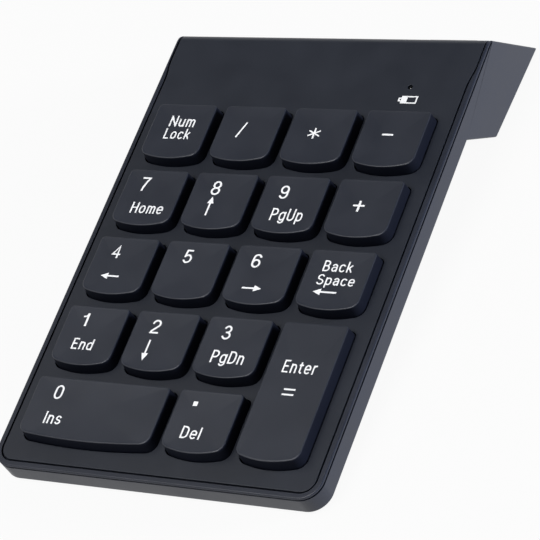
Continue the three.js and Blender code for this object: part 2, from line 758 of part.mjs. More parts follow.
// The membrane runs back in a tail that lies against the board's underside.
function membrane() {
  const sheet = prism(sheetOutline(), MEMBRANE_UNDER, MEMBRANE_TOP);
  return sheet.add(block(TAIL.x0, TAIL.x1, SHEET_REAR - 1, TAIL.y1, MEMBRANE_UNDER, MEMBRANE_TOP));
}

function backingPlate() {
  return prism(sheetOutline(), STEEL_UNDER, STEEL_TOP);
}

// ---------------------------------------------------------------- electronics
function circuitBoard() {
  const board = block(BOARD.x0, BOARD.x1, BOARD.y0, BOARD.y1, BOARD.under, BOARD.top);
  const tabs = TAB_PLACES.map((y) => tabSlot(y, SLIP));
  const locators = LOCATOR.xs.map((x) => post(x, LOCATOR.y, LOCATOR.r + GAP, -FAR, FAR));
  return cut(board, [...tabs, ...locators]);
}

function onBoard({ x, y, w, l, h }) {
  return block(x - w / 2, x + w / 2, y - l / 2, y + l / 2, PARTS_ON, PARTS_ON + h);
}

function lightPipe() {
  const step = -PLATE - SLIP;
  const profile = [
    [0, PIPE.low],
    [PIPE.r, PIPE.low],
    [PIPE.r, step],
    [PIPE.tip, step],
    [PIPE.tip, PIPE.top],
    [0, PIPE.top],
  ];
  return turned(profile, LIGHT.x, LIGHT.y, FINE_ROUND);
}

function switchBody() {
  const { x, half, y0, y1, top } = SWITCH;
  const slot = block(
    x - SWITCH_SLOT.half,
    x + SWITCH_SLOT.half,
    y1 - SWITCH_SLOT.depth,
    FAR,
    PARTS_ON + SWITCH_SLOT.floor,
    top - SWITCH_SLOT.roof,
  );
  return block(x - half, x + half, y0, y1, PARTS_ON, top).subtract(slot);
}

// The knob is centred one half-travel to the left at rest, with its lever inside the switch.
function switchKnob() {
  const x = SWITCH.x - KNOB_TRAVEL / 2;
  const inner = SWITCH.y1 - LEVER.inside;
  const lever = block(x - LEVER.half, x + LEVER.half, inner, LEVER.y1, LEVER.z0, LEVER.z1);
  return lever.add(block(x - KNOB.half, x + KNOB.half, KNOB.y0, KNOB.y1, KNOB.z0, KNOB.z1));
}

// ---------------------------------------------------------------- cells and contacts
// A profile of [radius, height] turned about x, pointing to +x when "way" is 1 and to -x when it is -1.
function turnedAlongX(profile, way, segments) {
  const points = profile.map(([r, z]) => new THREE.Vector2(r, z));
  return new THREE.LatheGeometry(points, segments).rotateZ((-way * Math.PI) / 2);
}

// A cell lies along x with its button end on the side that "way" gives.
function cell(way) {
  const tail = -CELL_LENGTH / 2;
  const shoulder = -tail - BUTTON.l;
  const profile = [
    [0, tail],
    [CELL_R, tail],
    [CELL_R, shoulder - BUTTON.bevel],
    [CELL_R - BUTTON.shoulder, shoulder],
    [BUTTON.r, shoulder],
    [BUTTON.r, -tail],
    [0, -tail],
  ];
  return turnedAlongX(profile, way, CELL_SEGMENTS);
}

class ConeCoil extends THREE.Curve {
  constructor(turns, length, wide, narrow) {
    super();
    Object.assign(this, { turns, length, wide, narrow });
  }
  getPoint(t, target = new THREE.Vector3()) {
    const angle = 2 * Math.PI * this.turns * t;
    const r = THREE.MathUtils.lerp(this.wide, this.narrow, t);
    return target.set(this.length * t, r * Math.cos(angle), r * Math.sin(angle));
  }
}

// A cone-shaped contact spring from a plate at x, reaching by its length towards "way".
function contactSpring(x, at, way) {
  const wire = new THREE.Shape().absarc(0, 0, SPRING.wire, 0, 2 * Math.PI, false);
  const geometry = new THREE.ExtrudeGeometry(wire, {
    steps: SPRING.steps,
    curveSegments: 3,
    extrudePath: new ConeCoil(SPRING.turns, SPRING.length, SPRING.wide, SPRING.narrow),
    bevelEnabled: false,
  });
  if (way < 0) geometry.rotateZ(Math.PI);
  return solid(geometry.translate(x - way * SPRING.root, at.y, at.z));
}

function contactDimple(x, at, way) {
  const profile = [
    [0, -DIMPLE.root],
    [DIMPLE.r, -DIMPLE.root],
    [DIMPLE.top, DIMPLE.h],
    [0, DIMPLE.h],
  ];
  return solid(turnedAlongX(profile, way, ROUND).translate(x, at.y, at.z));
}

// Outer faces of the contact plates, and the inner faces that the cells are pressed from.
const LEFT_PLATE = BAY_LEFT + GAP;
const LEFT_INNER = LEFT_PLATE + CONTACT;
const RIGHT_PLATE = BAY_RIGHT - GAP;
const RIGHT_INNER = RIGHT_PLATE - CONTACT;

function bridgeContact() {
  const plate = block(LEFT_PLATE, LEFT_INNER, BRIDGE.y0, BRIDGE.y1, BRIDGE.z0, BRIDGE.z1);
  return join([plate, contactSpring(LEFT_INNER, FRONT_CELL, 1), contactDimple(LEFT_INNER, REAR_CELL, 1)]);
}

// A plate at the bay's right end with a tab that stands up through the circuit board.
function tabbedContact(y0, y1, tabY, heights) {
  const plate = block(RIGHT_INNER, RIGHT_PLATE, y0, y1, heights.z0, heights.z1);
  const foot = heights.z1 - TAB.overlap;
  const head = BOARD.top + TAB.above;
  return plate.add(block(RIGHT_INNER, RIGHT_PLATE, tabY - TAB.half, tabY + TAB.half, foot, head));
}

function positiveContact() {
  const y = FRONT_CELL.y;
  const plate = tabbedContact(y - CONTACT_REACH, y + CONTACT_REACH, TAB_PLACES[0], POSITIVE);
  return plate.add(contactDimple(RIGHT_INNER, FRONT_CELL, -1));
}

function negativeContact() {
  const tabY = TAB_PLACES[1];
  const plate = tabbedContact(tabY - TAB.half, REAR_CELL.y + CONTACT_REACH, tabY, NEGATIVE);
  return plate.add(contactSpring(RIGHT_INNER, REAR_CELL, -1));
}

// ---------------------------------------------------------------- receiver
// About the middle of the line where the plug meets the grip: the plug points to -y, the grip to +y.
function receiverShell() {
  const x = PLUG.w / 2;
  const z = PLUG.h / 2;
  const tube = block(-x, x, -PLUG.l, PLUG_IN_GRIP, -z, z);
  const bore = block(-x + SHEET, x - SHEET, -FAR, FAR, -z + SHEET, z - SHEET);
  const windows = [-WINDOW.x, WINDOW.x].map((middle) => {
    return block(middle - WINDOW.half, middle + WINDOW.half, WINDOW.y0, WINDOW.y1, 0, FAR);
  });
  return cut(tube, [bore, ...windows]);
}

function receiverTongue() {
  const { half, back, end, low, high } = TONGUE_BAR;
  return block(-half, half, -PLUG.l + back, end, -PLUG.h / 2 + low, -PLUG.h / 2 + high);
}

function receiverGrip() {
  const outline = new THREE.Shape();
  const x = GRIP.w / 2;
  const y = GRIP.l - GRIP_ROUND;
  outline.moveTo(-x, 0);
  outline.lineTo(x, 0);
  outline.lineTo(x, y);
  outline.absarc(x - GRIP_ROUND, y, GRIP_ROUND, 0, Math.PI / 2, false);
  outline.absarc(-x + GRIP_ROUND, y, GRIP_ROUND, Math.PI / 2, Math.PI, false);
  const body = prism(outline, -GRIP.h / 2, GRIP.h / 2);
  const socketX = PLUG.w / 2 + GAP;
  const socketZ = PLUG.h / 2 + GAP;
  return body.subtract(block(-socketX, socketX, -1, SOCKET_DEPTH, -socketZ, socketZ));
}

// ---------------------------------------------------------------- fasteners
function screw() {
  return turned([
    [0, SCREW_SEAT - SCREW_HEAD],
    [SCREW_HEAD_R, SCREW_SEAT - SCREW_HEAD],
    [SCREW_HEAD_R, SCREW_SEAT - SLIP],
    [SCREW_R, SCREW_SEAT - SLIP],
    [SCREW_R, SCREW_END],
    [0, SCREW_END],
  ]);
}

// ---------------------------------------------------------------- assembly
const keypad = new THREE.Group();
const deck = new THREE.Group();
keypad.add(deck);

// The deck leans by the tilt, and is set so that the soles of the feet lie on z = 0 and y is centred.
const frontY = FRONT * Math.cos(TILT);
const rearY = SOLE_REAR.y * Math.cos(TILT) - SOLE_REAR.z * Math.sin(TILT);
deck.rotation.x = TILT;
deck.position.y = -(frontY + rearY) / 2;
deck.position.z = FOOT_PROUD - FRONT * Math.sin(TILT) + SLAB * Math.cos(TILT);

function place(group, name, body, finish, x = 0, y = 0, z = 0) {
  const geometry = body.isBufferGeometry ? body : surface(body);
  const material = new THREE.MeshStandardMaterial({ ...FINISH[finish], flatShading: true });
  const mesh = new THREE.Mesh(geometry, material);
  mesh.name = name;
  mesh.position.set(x, y, z);
  group.add(mesh);
  return mesh;
}

const outside = envelope();

const casing = new THREE.Group();
place(casing, "cover_plate", coverPlate(outside), "plate");
place(casing, "upper_case", upperCase(outside), "casing");
place(casing, "lower_case", lowerCase(outside), "casing");
for (const [name, foot] of Object.entries(FEET)) place(casing, name, footBody(foot, 0, 0), "rubber");
SCREWS.forEach(([x, y], i) => place(casing, `case_screw_${i + 1}`, screw(), "steel", x, y));

const keyboard = new THREE.Group();
for (const key of KEYS) place(keyboard, key.name, keycap(key), "keycap", key.x, key.y);
const wideKey = KEYS.find((key) => key.wide);
const tallKey = KEYS.find((key) => key.tall);
place(keyboard, "stabiliser_0", stabiliser(), "steel", wideKey.x, wideKey.y);
place(keyboard, "stabiliser_enter", stabiliser(), "steel", tallKey.x, tallKey.y).rotation.z = -Math.PI / 2;
place(keyboard, "dome_sheet", domeSheet(), "silicone");
place(keyboard, "membrane_sheet", membrane(), "film");
place(keyboard, "backing_plate", backingPlate(), "steel");

const electronics = new THREE.Group();
place(electronics, "circuit_board", circuitBoard(), "board");
place(electronics, "controller_chip", onBoard(CHIP), "chip");
place(electronics, "crystal", onBoard(CRYSTAL), "steel");
place(electronics, "status_led", onBoard(LED), "clear");
place(electronics, "light_pipe", lightPipe(), "clear");
place(electronics, "power_switch_body", switchBody(), "steel");
place(electronics, "power_switch_knob", switchKnob(), "grip");

const power = new THREE.Group();
const cellFrontX = RIGHT_INNER - CELL_TO_CONTACT - CELL_LENGTH / 2;
const cellRearX = LEFT_INNER + CELL_TO_CONTACT + CELL_LENGTH / 2;
place(power, "battery_cell_front", cell(1), "cell", cellFrontX, FRONT_CELL.y, FRONT_CELL.z);
place(power, "battery_cell_rear", cell(-1), "cell", cellRearX, REAR_CELL.y, REAR_CELL.z);
place(power, "bridge_contact", bridgeContact(), "steel");
place(power, "positive_contact", positiveContact(), "steel");
place(power, "negative_contact", negativeContact(), "steel");
place(power, "battery_door", batteryDoor(outside), "casing");

const receiver = new THREE.Group();
receiver.position.set(RECEIVER_X, RECEIVER_JOIN, RECEIVER_Z);
place(receiver, "receiver_shell", receiverShell(), "steel");
place(receiver, "receiver_tongue", receiverTongue(), "insulator");
place(receiver, "receiver_grip", receiverGrip(), "grip");

deck.add(casing, keyboard, electronics, power, receiver);

export default keypad;
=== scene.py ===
"""A wireless numeric keypad: its fine shapes and finishes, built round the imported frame."""

import json
from math import asin, atan, cos, degrees, hypot, pi, radians, sin, tan

import bmesh
import bpy
from mathutils import Matrix, Quaternion, Vector
from mathutils.geometry import delaunay_2d_cdt


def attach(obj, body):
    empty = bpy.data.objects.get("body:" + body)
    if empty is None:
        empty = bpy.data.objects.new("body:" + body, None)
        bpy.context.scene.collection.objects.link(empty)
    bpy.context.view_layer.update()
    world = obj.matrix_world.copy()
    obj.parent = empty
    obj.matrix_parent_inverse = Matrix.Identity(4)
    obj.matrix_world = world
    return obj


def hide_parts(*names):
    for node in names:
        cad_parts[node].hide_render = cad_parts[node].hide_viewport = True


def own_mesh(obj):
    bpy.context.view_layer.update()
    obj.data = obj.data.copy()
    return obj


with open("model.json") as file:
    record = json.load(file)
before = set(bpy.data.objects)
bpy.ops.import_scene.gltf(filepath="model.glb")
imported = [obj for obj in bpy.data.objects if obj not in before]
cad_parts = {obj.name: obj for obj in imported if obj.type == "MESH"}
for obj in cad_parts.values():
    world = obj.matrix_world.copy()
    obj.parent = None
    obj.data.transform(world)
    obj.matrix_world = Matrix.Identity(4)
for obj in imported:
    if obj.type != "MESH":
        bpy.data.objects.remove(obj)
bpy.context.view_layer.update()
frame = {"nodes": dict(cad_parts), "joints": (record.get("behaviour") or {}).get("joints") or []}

# ---------- frame and units
# Shapes are drawn in millimetres in the deck's own frame: x to the right, y along the deck to
# the rear, z square to the key plate, with z = 0 on the plate and y = 0 where the key grid starts.
MM = 0.001
FRONT = -97.7
PRESS = next(j for j in frame["joints"] if j["name"] == "key_5_press")
LEAN = asin(PRESS["axis"][1])
LEVEL = Matrix.Rotation(-LEAN, 3, "X") * (1 / MM)


def level_points(node):
    """A CAD node's vertices in millimetres, turned until the deck is level."""
    return [LEVEL @ v.co for v in frame["nodes"][node].data.vertices]


ORIGIN = Vector((
    0,
    min(p.y for p in level_points("lower_case")) - FRONT,
    max(p.z for p in level_points("cover_plate")),
))
DECK = Matrix.Rotation(LEAN, 4, "X") @ Matrix.Translation(ORIGIN * MM) @ Matrix.Scale(MM, 4)


def deck_box(node):
    """Lowest and highest corner of a CAD node along the deck's axes, in millimetres."""
    points = [p - ORIGIN for p in level_points(node)]
    low = Vector(min(p[i] for p in points) for i in range(3))
    high = Vector(max(p[i] for p in points) for i in range(3))
    return low, high


# ---------- dimensions
HALF = deck_box("lower_case")[1].x
REAR = 22.7
SLAB = 5.7
CORNER = 5
BLOCK_FRONT = -1.1
FRONT_LEAN = radians(39)
REAR_LEAN = radians(33.5)
REAR_TANGENT = 1.45
CASE_ROUND = 0.4

BEYOND = 90

RIM = 1.3
RIM_REAR = 0.6
RIM_THIN_FROM = 9
RIM_THIN_TO = 16
RIM_THIN_PULL = 1.5
RIM_HEIGHT = 0.55
GROOVE = 0.45
PLATE = 0.8
PLATE_ROUND = 0.1
PLATE_LIP = 1.3
RECESS = 0.96
PARTING_LOW = 1
PARTING_ROUND = 0.12

CAD_FLARE = 0.55
KEY_FLARE = 0.32
KEY_SKIRT = 0.5
KEY_WALL = 1
KEY_BOW = 0.8
KEY_REAR_R = 0.9
KEY_FRONT_R = 2.4
KEY_LEAST_R = 0.3
KEY_EDGE = 0.22
KEY_DISH = 0.16
KEY_GAP = 0.2
SKIRT_CHAMFER = (0.15, 0.1)
SKIRT_LIP = 0.02
PAINTED_SHADE_BELOW = 0.8
SIDE_SHARES = (0, 0.4, 0.7)
DISH_SHARES = (0.985, 0.95, 0.9, 0.8, 0.65, 0.5, 0.3, 0.1)
STEM_R = 2.2

PINHOLE = Vector((26.5, 9.1))
PINHOLE_R = 0.65

INK = 0.05


# ---------- materials
SPECK = 2.5
SPECK_SHARE = 0.5
GLOSS_DRIFT = 0.03


def set_values(node, values):
    """Sets the plain values of a node's sockets."""
    for socket, value in values.items():
        node.inputs[socket].default_value = value
    return node


def shader_of(material):
    return next(n for n in material.node_tree.nodes if n.type == "BSDF_PRINCIPLED")


def noise(nodes, links, place, feature_mm, detail):
    made = nodes.new("ShaderNodeTexNoise")
    set_values(made, {"Scale": 1 / (feature_mm * MM), "Detail": detail})
    links.new(place, made.inputs["Vector"])
    return made.outputs["Fac"]


def spread(nodes, links, value, low, high):
    """A 0 to 1 value, taken from the middle of its range, as low to high."""
    made = nodes.new("ShaderNodeMapRange")
    set_values(made, {"From Min": 0.3, "From Max": 0.7, "To Min": low, "To Max": high})
    links.new(value, made.inputs["Value"])
    return made.outputs["Result"]


def blend_colour(nodes, links, share, first, second):
    made = nodes.new("ShaderNodeMix")
    made.data_type = "RGBA"
    for socket, colour in (("A", first), ("B", second)):
        wanted = next(s for s in made.inputs if s.name == socket and s.type == "RGBA")
        if hasattr(colour, "is_output"):
            links.new(colour, wanted)
        else:
            wanted.default_value = (*colour, 1)
    links.new(share, made.inputs["Factor"])
    return next(s for s in made.outputs if s.type == "RGBA")


def surface(name, colour, rough, grain, relief, metallic=0, mottle=0.1, patch=9, ior=1.5, clear=0):
    """A moulded, printed or metal finish: fine grain in relief, soft mottling in colour and gloss."""
    made = bpy.data.materials.new(name)
    made.use_nodes = True
    nodes, links = made.node_tree.nodes, made.node_tree.links
    shader = shader_of(made)
    place = nodes.new("ShaderNodeTexCoord").outputs["Object"]
    fine = noise(nodes, links, place, grain, 4)
    broad = noise(nodes, links, place, patch, 5)
    dark = [c * (1 - mottle) for c in colour]
    light = [c * (1 + mottle) for c in colour]
    tone = blend_colour(nodes, links, spread(nodes, links, broad, 0, 1), dark, light)
    speck = [min(1, c * (1 + SPECK * mottle)) for c in colour]
    share = spread(nodes, links, fine, 0, SPECK_SHARE)
    links.new(blend_colour(nodes, links, share, tone, speck), shader.inputs["Base Color"])
    gloss = spread(nodes, links, broad, rough - GLOSS_DRIFT, rough + GLOSS_DRIFT)
    links.new(gloss, shader.inputs["Roughness"])
    set_values(shader, {"Metallic": metallic, "IOR": ior, "Transmission Weight": clear})
    bump = set_values(nodes.new("ShaderNodeBump"), {"Strength": 1, "Distance": relief * MM})
    links.new(fine, bump.inputs["Height"])
    links.new(bump.outputs["Normal"], shader.inputs["Normal"])
    return made


# Each finish is its colour, its roughness, the size and relief of its grain in millimetres, and
# whatever sets it apart from plain plastic.
METAL = {"metallic": 1}
CLEAR = {"mottle": 0.02, "clear": 0.7}
LOOKS = {
    "plate_plastic": ((0.0095, 0.012, 0.019), 0.44, 0.16, 0.012, {"ior": 1.4}),
    "case_plastic": ((0.009, 0.0115, 0.0205), 0.42, 0.2, 0.008, {"ior": 1.44}),
    "key_plastic": ((0.0082, 0.0108, 0.019), 0.42, 0.14, 0.01, {}),
    # A darker, duller copy of the key plastic: painted shade for the keys' sides and the deck under the
    # plate.
    "key_skirt": ((0.004, 0.005, 0.0095), 0.5, 0.14, 0.01, {"ior": 1.18}),
    "legend_ink": ((0.72, 0.73, 0.75), 0.6, 0.1, 0.004, {"mottle": 0.03}),
    "foot_rubber": ((0.012, 0.012, 0.013), 0.8, 0.5, 0.05, {}),
    "dome_silicone": ((0.5, 0.53, 0.55), 0.55, 0.4, 0.01, {}),
    "membrane_film": ((0.55, 0.64, 0.66), 0.25, 0.6, 0.004, {}),
    "backing_steel": ((0.55, 0.56, 0.58), 0.35, 0.8, 0.01, METAL),
    "board_laminate": ((0.008, 0.09, 0.03), 0.4, 0.5, 0.02, {}),
    "chip_epoxy": ((0.006, 0.006, 0.007), 0.45, 0.15, 0.01, {}),
    "can_metal": ((0.6, 0.6, 0.61), 0.28, 0.5, 0.004, METAL),
    "led_clear": ((0.8, 0.86, 0.8), 0.15, 0.25, 0.002, CLEAR),
    "pipe_clear": ((0.006, 0.007, 0.008), 0.2, 0.25, 0.002, CLEAR),
    "switch_plastic": ((0.01, 0.011, 0.013), 0.4, 0.2, 0.01, {}),
    "cell_sleeve": ((0.09, 0.17, 0.05), 0.28, 0.6, 0.004, {}),
    "cell_band": ((0.55, 0.33, 0.08), 0.3, 0.6, 0.004, {"metallic": 0.6}),
    "contact_metal": ((0.62, 0.6, 0.55), 0.25, 0.4, 0.004, METAL),
    "wire_steel": ((0.55, 0.55, 0.56), 0.3, 0.3, 0.006, METAL),
    "screw_steel": ((0.09, 0.09, 0.1), 0.35, 0.2, 0.006, METAL),
    "receiver_metal": ((0.66, 0.66, 0.67), 0.22, 0.3, 0.004, METAL),
    "receiver_insulator": ((0.7, 0.7, 0.68), 0.5, 0.3, 0.006, {}),
    "receiver_plastic": ((0.009, 0.01, 0.012), 0.35, 0.2, 0.006, {}),
    "receiver_gilt": ((0.8, 0.55, 0.2), 0.22, 0.3, 0.003, METAL),
}
FINISH = {name: surface(name, *look[:4], **look[4]) for name, look in LOOKS.items()}


# ---------- making pieces
def as_mesh(made, name="working"):
    """Turns a bmesh into a mesh, and uses it up."""
    mesh = bpy.data.meshes.new(name)
    made.to_mesh(mesh)
    made.free()
    return mesh


def in_scene(name, data):
    thing = bpy.data.objects.new(name, data)
    bpy.context.scene.collection.objects.link(thing)
    return thing


def piece(name, made, body, slot, stands_for=(), smooth=35, weighted=True):
    """A bmesh drawn in the deck's millimetres becomes a piece that rides on a CAD body."""
    made.transform(DECK)
    bmesh.ops.recalc_face_normals(made, faces=made.faces)
    for face in made.faces:
        face.smooth = True
    for edge in made.edges:
        edge.smooth = edge.is_manifold and edge.calc_face_angle() < radians(smooth)
    thing = in_scene(name, as_mesh(made, name))
    thing.data.materials.append(FINISH[slot])
    if weighted:
        thing.modifiers.new("normals", "WEIGHTED_NORMAL").keep_sharp = True
    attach(thing, body)
    if stands_for:
        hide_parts(*stands_for)
    return thing


def loft(rings, hollow=False):
    """A closed body through rings of points, capped at its ends. A hollow one joins end to end."""
    made = bmesh.new()
    loops = [[made.verts.new(p) for p in ring] for ring in rings]
    pairs = list(zip(loops, loops[1:]))
    if hollow:
        pairs.append((loops[-1], loops[0]))
    for below, above in pairs:
        for i, corner in enumerate(below):
            j = (i + 1) % len(below)
            made.faces.new((corner, below[j], above[j], above[i]))
    if not hollow:
        made.faces.new(loops[0][::-1])
        made.faces.new(loops[-1])
    return made


def arc(centre, radius, start, end, steps):
    """Points on an arc, from one angle to another in degrees."""
    turns = [radians(start + (end - start) * i / steps) for i in range(steps + 1)]
    return [(centre[0] + radius * cos(t), centre[1] + radius * sin(t)) for t in turns]


def hole(centre, radius):
    return arc(centre, radius, 0, 345, 23)


def bezier(a, control, b, steps):
    """Points inside a quadratic curve, without its ends."""
    made = []
    for i in range(1, steps):
        t = i / steps
        spot = ((1 - t) ** 2 * p + 2 * t * (1 - t) * q + t * t * r for p, q, r in zip(a, control, b))
        made.append(tuple(spot))
    return made


def flat_shape(outlines, low, high, round_edge=0, round_steps=2):
    """A flat body between two heights whose outlines may lie inside each other as holes."""
    curve = bpy.data.curves.new("outline", "CURVE")
    curve.dimensions = "2D"
    curve.fill_mode = "BOTH"
    for points in outlines:
        line = curve.splines.new("POLY")
        line.points.add(len(points) - 1)
        for spot, (x, y) in zip(line.points, points):
            spot.co = (x, y, 0, 1)
        line.use_cyclic_u = True
    curve.extrude = (high - low) / 2 - round_edge
    curve.bevel_depth = round_edge
    curve.bevel_resolution = round_steps
    curve.offset = -round_edge
    holder = in_scene("outline", curve)
    made = bmesh.new()
    made.from_mesh(evaluated(holder))
    bpy.data.objects.remove(holder)
    bmesh.ops.remove_doubles(made, verts=made.verts, dist=1e-4)
    bmesh.ops.translate(made, verts=made.verts, vec=(0, 0, (low + high) / 2))
    return made


def evaluated(thing):
    """The mesh of an object with its modifiers applied."""
    bpy.context.view_layer.update()
    seen = thing.evaluated_get(bpy.context.evaluated_depsgraph_get())
    return bpy.data.meshes.new_from_object(seen)


def boolean(base, tool, operation):
    """Joins, cuts or intersects two closed bmeshes, and uses both up."""
    things = [in_scene("working", as_mesh(made)) for made in (base, tool)]
    modifier = things[0].modifiers.new("boolean", "BOOLEAN")
    modifier.object = things[1]
    modifier.operation = operation
    modifier.solver = "EXACT"
    result = bmesh.new()
    result.from_mesh(evaluated(things[0]))
    for thing in things:
        bpy.data.objects.remove(thing)
    bmesh.ops.remove_doubles(result, verts=result.verts, dist=1e-4)
    flat = radians(0.2)
    bmesh.ops.dissolve_limit(result, angle_limit=flat, verts=result.verts, edges=result.edges)
    return result


def carved(base, tool):
    return boolean(base, tool, "DIFFERENCE")


def is_sharp(edge):
    return len(edge.link_faces) == 2 and edge.calc_face_angle() > radians(30)


def rounded(made, width, segments=2):
    """Rounds every sharp edge."""
    bevel(made, [edge for edge in made.edges if is_sharp(edge)], width, segments, clamp_overlap=True)
    return made


def bevel(made, edges, width, segments, clamp_overlap=False):
    shape = {"offset": width, "segments": segments, "profile": 0.5, "affect": "EDGES"}
    bmesh.ops.bevel(made, geom=edges, clamp_overlap=clamp_overlap, **shape)


def cad_solid(node):
    """A CAD node as a bmesh in the deck's millimetres, with its flat faces made whole."""
    made = bmesh.new()
    made.from_mesh(frame["nodes"][node].data)
    made.transform(DECK.inverted())
    bmesh.ops.remove_doubles(made, verts=made.verts, dist=1e-3)
    everything = {"verts": made.verts, "edges": made.edges}
    bmesh.ops.dissolve_limit(made, angle_limit=radians(0.5), use_dissolve_boundaries=False, **everything)
    return made


def block(x0, x1, y0, y1, z0, z1):
    made = bmesh.new()
    bmesh.ops.create_cube(made, size=1)
    bmesh.ops.scale(made, vec=(x1 - x0, y1 - y0, z1 - z0), verts=made.verts)
    bmesh.ops.translate(made, vec=((x0 + x1) / 2, (y0 + y1) / 2, (z0 + z1) / 2), verts=made.verts)
    return made


def turned(profile, steps=32, hollow=False):
    """A profile of (radius, height) turned about z. A hollow one joins its last point to its first."""
    angles = [2 * pi * i / steps for i in range(steps)]
    return loft([[(r * cos(t), r * sin(t), z) for t in angles] for r, z in profile], hollow)


def placed(made, x=0, y=0, z=0, turn=None):
    made.transform(Matrix.Translation((x, y, z)) @ (turn or Matrix.Identity(4)))
    return made


def together(parts):
    """Several closed bodies kept as one mesh."""
    whole = bmesh.new()
    for part in parts:
        mesh = as_mesh(part)
        whole.from_mesh(mesh)
        bpy.data.meshes.remove(mesh)
    return whole


def tube(path, radius, sides=10):
    """A round wire along a path."""
    path = [Vector(p) for p in path]
    ways = [(b - a).normalized() for a, b in zip(path, path[1:])]
    ways = [ways[0]] + [(a + b).normalized() for a, b in zip(ways, ways[1:])] + [ways[-1]]
    side = ways[0].orthogonal().normalized()
    rings = []
    for spot, way in zip(path, ways):
        side = (side - way * side.dot(way)).normalized()
        other = way.cross(side)
        turns = [2 * pi * i / sides for i in range(sides)]
        rings.append([spot + (side * cos(t) + other * sin(t)) * radius for t in turns])
    return loft(rings)


def soft_path(corners, radius, steps=6):
    """A path through corners, each one rounded off."""
    path = [Vector(corners[0])]
    for before, corner, after in zip(corners, corners[1:], corners[2:]):
        before, corner, after = Vector(before), Vector(corner), Vector(after)
        start = corner + (before - corner).normalized() * radius
        end = corner + (after - corner).normalized() * radius
        path += [start, *(Vector(p) for p in bezier(start, corner, end, steps)), end]
    return path + [Vector(corners[-1])]


def round_block(x0, x1, y0, y1, z0, z1, width, segments=2):
    return rounded(block(x0, x1, y0, y1, z0, z1), width, segments)


def box_block(node, width, segments=2):
    """A rounded block as large as a CAD node."""
    low, high = deck_box(node)
    return round_block(low.x, high.x, low.y, high.y, low.z, high.z, width, segments)


def softened(node, name, body, slot, width, segments):
    """A piece that is its CAD node with rounded edges."""
    piece(name, rounded(cad_solid(node), width, segments), body, slot, [node])


def round_rectangle(x0, x1, y0, y1, radius, steps=6):
    points = []
    for x, y, start in ((x1, y1, 0), (x0, y1, 90), (x0, y0, 180), (x1, y0, 270)):
        centre = (x - radius * (1 if x == x1 else -1), y - radius * (1 if y == y1 else -1))
        points += arc(centre, radius, start, start + 90, steps)
    return points


# ---------- outlines of the case
def panel(inset, rear_inset, rear, steps=14):
    """Plan outline set in from the case's outside, with round front corners and a rim that thins."""
    side, rear_side = HALF - inset, HALF - rear_inset
    front, radius = FRONT + inset, CORNER - inset
    half = [(rear_side, rear)]
    if rear_inset != inset:
        middle = (RIM_THIN_FROM + RIM_THIN_TO) / 2
        centre = ((side + rear_side) / 2, middle)
        half += [(rear_side, RIM_THIN_TO)]
        half += bezier((rear_side, RIM_THIN_TO), (rear_side, middle + RIM_THIN_PULL), centre, 5)
        half += [centre]
        half += bezier(centre, (side, middle - RIM_THIN_PULL), (side, RIM_THIN_FROM), 5)
        half += [(side, RIM_THIN_FROM)]
    half += arc((side - radius, front + radius), radius, 0, -90, steps)
    return half + [(-x, y) for x, y in half[::-1]]


REAR_TURN = pi / 2 - REAR_LEAN
REAR_RADIUS = REAR_TANGENT / tan(REAR_TURN / 2)


def rolled(y, z):
    """Carries a point of the flat plate, at a depth z below its top, over the case's round rear edge."""
    start = REAR - REAR_TANGENT
    run = y - start
    if run <= 0:
        return y, z
    turn = min(run / REAR_RADIUS, REAR_TURN)
    beyond = run - turn * REAR_RADIUS
    out = REAR_RADIUS + z
    return (
        start + out * sin(turn) + beyond * cos(turn),
        -REAR_RADIUS + out * cos(turn) - beyond * sin(turn),
    )


def envelope():
    """Outside of the whole case, with its edges rounded: every shell is trimmed to it."""
    start = REAR - REAR_TANGENT
    steps = 8
    profile = [(FRONT, 0), (FRONT, -SLAB), (BLOCK_FRONT, -SLAB), *SOLE]
    profile += [rolled(start + REAR_RADIUS * REAR_TURN * i / steps, 0) for i in range(steps, -1, -1)]
    sides = loft([[(x, y, z) for y, z in profile] for x in (-HALF, HALF)])
    bmesh.ops.recalc_face_normals(sides, faces=sides.faces)
    plan = loft([[(x, y, z) for x, y in panel(0, 0, BEYOND)] for z in (-BEYOND, BEYOND)])
    bmesh.ops.recalc_face_normals(plan, faces=plan.faces)
    return rounded(boolean(sides, plan, "INTERSECT"), CASE_ROUND, segments=3)


def sole_corners():
    """Where the block's leaning front and rear faces meet the plane of the sole, as (y, z)."""
    fall = tan(LEAN)
    front_drop = (BLOCK_FRONT - FRONT) * fall / (1 - tan(FRONT_LEAN) * fall)
    rear_drop = (SLAB + (REAR - FRONT) * fall) / (1 - tan(REAR_LEAN) * fall)
    return (
        (BLOCK_FRONT + front_drop * tan(FRONT_LEAN), -SLAB - front_drop),
        (REAR + rear_drop * tan(REAR_LEAN), -rear_drop),
    )


SOLE = sole_corners()


# ---------- keys
def key_outline(w, l, grow, corner_steps=7):
    """Outline of a key about its centre: small rear corners, round front corners, bowed front edge."""
    x, rear, front = w / 2 + grow, l / 2 + grow, -l / 2 - grow + KEY_BOW
    rear_r = max(KEY_REAR_R + grow, KEY_LEAST_R)
    front_r = KEY_FRONT_R + grow / 2
    slope = atan(2 * KEY_BOW / (x - front_r))
    corner = arc((x - front_r, front + front_r), front_r, 0, -90 + degrees(slope), corner_steps)
    right = [(x, rear - rear_r - (rear - front - rear_r - front_r) * i / 6) for i in range(6)]
    half = arc((x - rear_r, rear - rear_r), rear_r, 90, 0, 4)[:-1] + right + corner
    reach, low = half[-1]
    bow = bezier((reach, low), (0, low - reach * tan(slope)), (-reach, low), 12)
    back = [(x - rear_r - (2 * x - 2 * rear_r) * i / 8, rear) for i in range(7, 0, -1)]
    return half + bow + [(-a, b) for a, b in half[::-1]] + back


def key_dish(x, y, w, l):
    """Depth of the shallow dish in a key's top at a place about its centre."""
    return KEY_DISH * max(0, 1 - max(abs(2 * x / w), abs(2 * y / l)) ** 2)


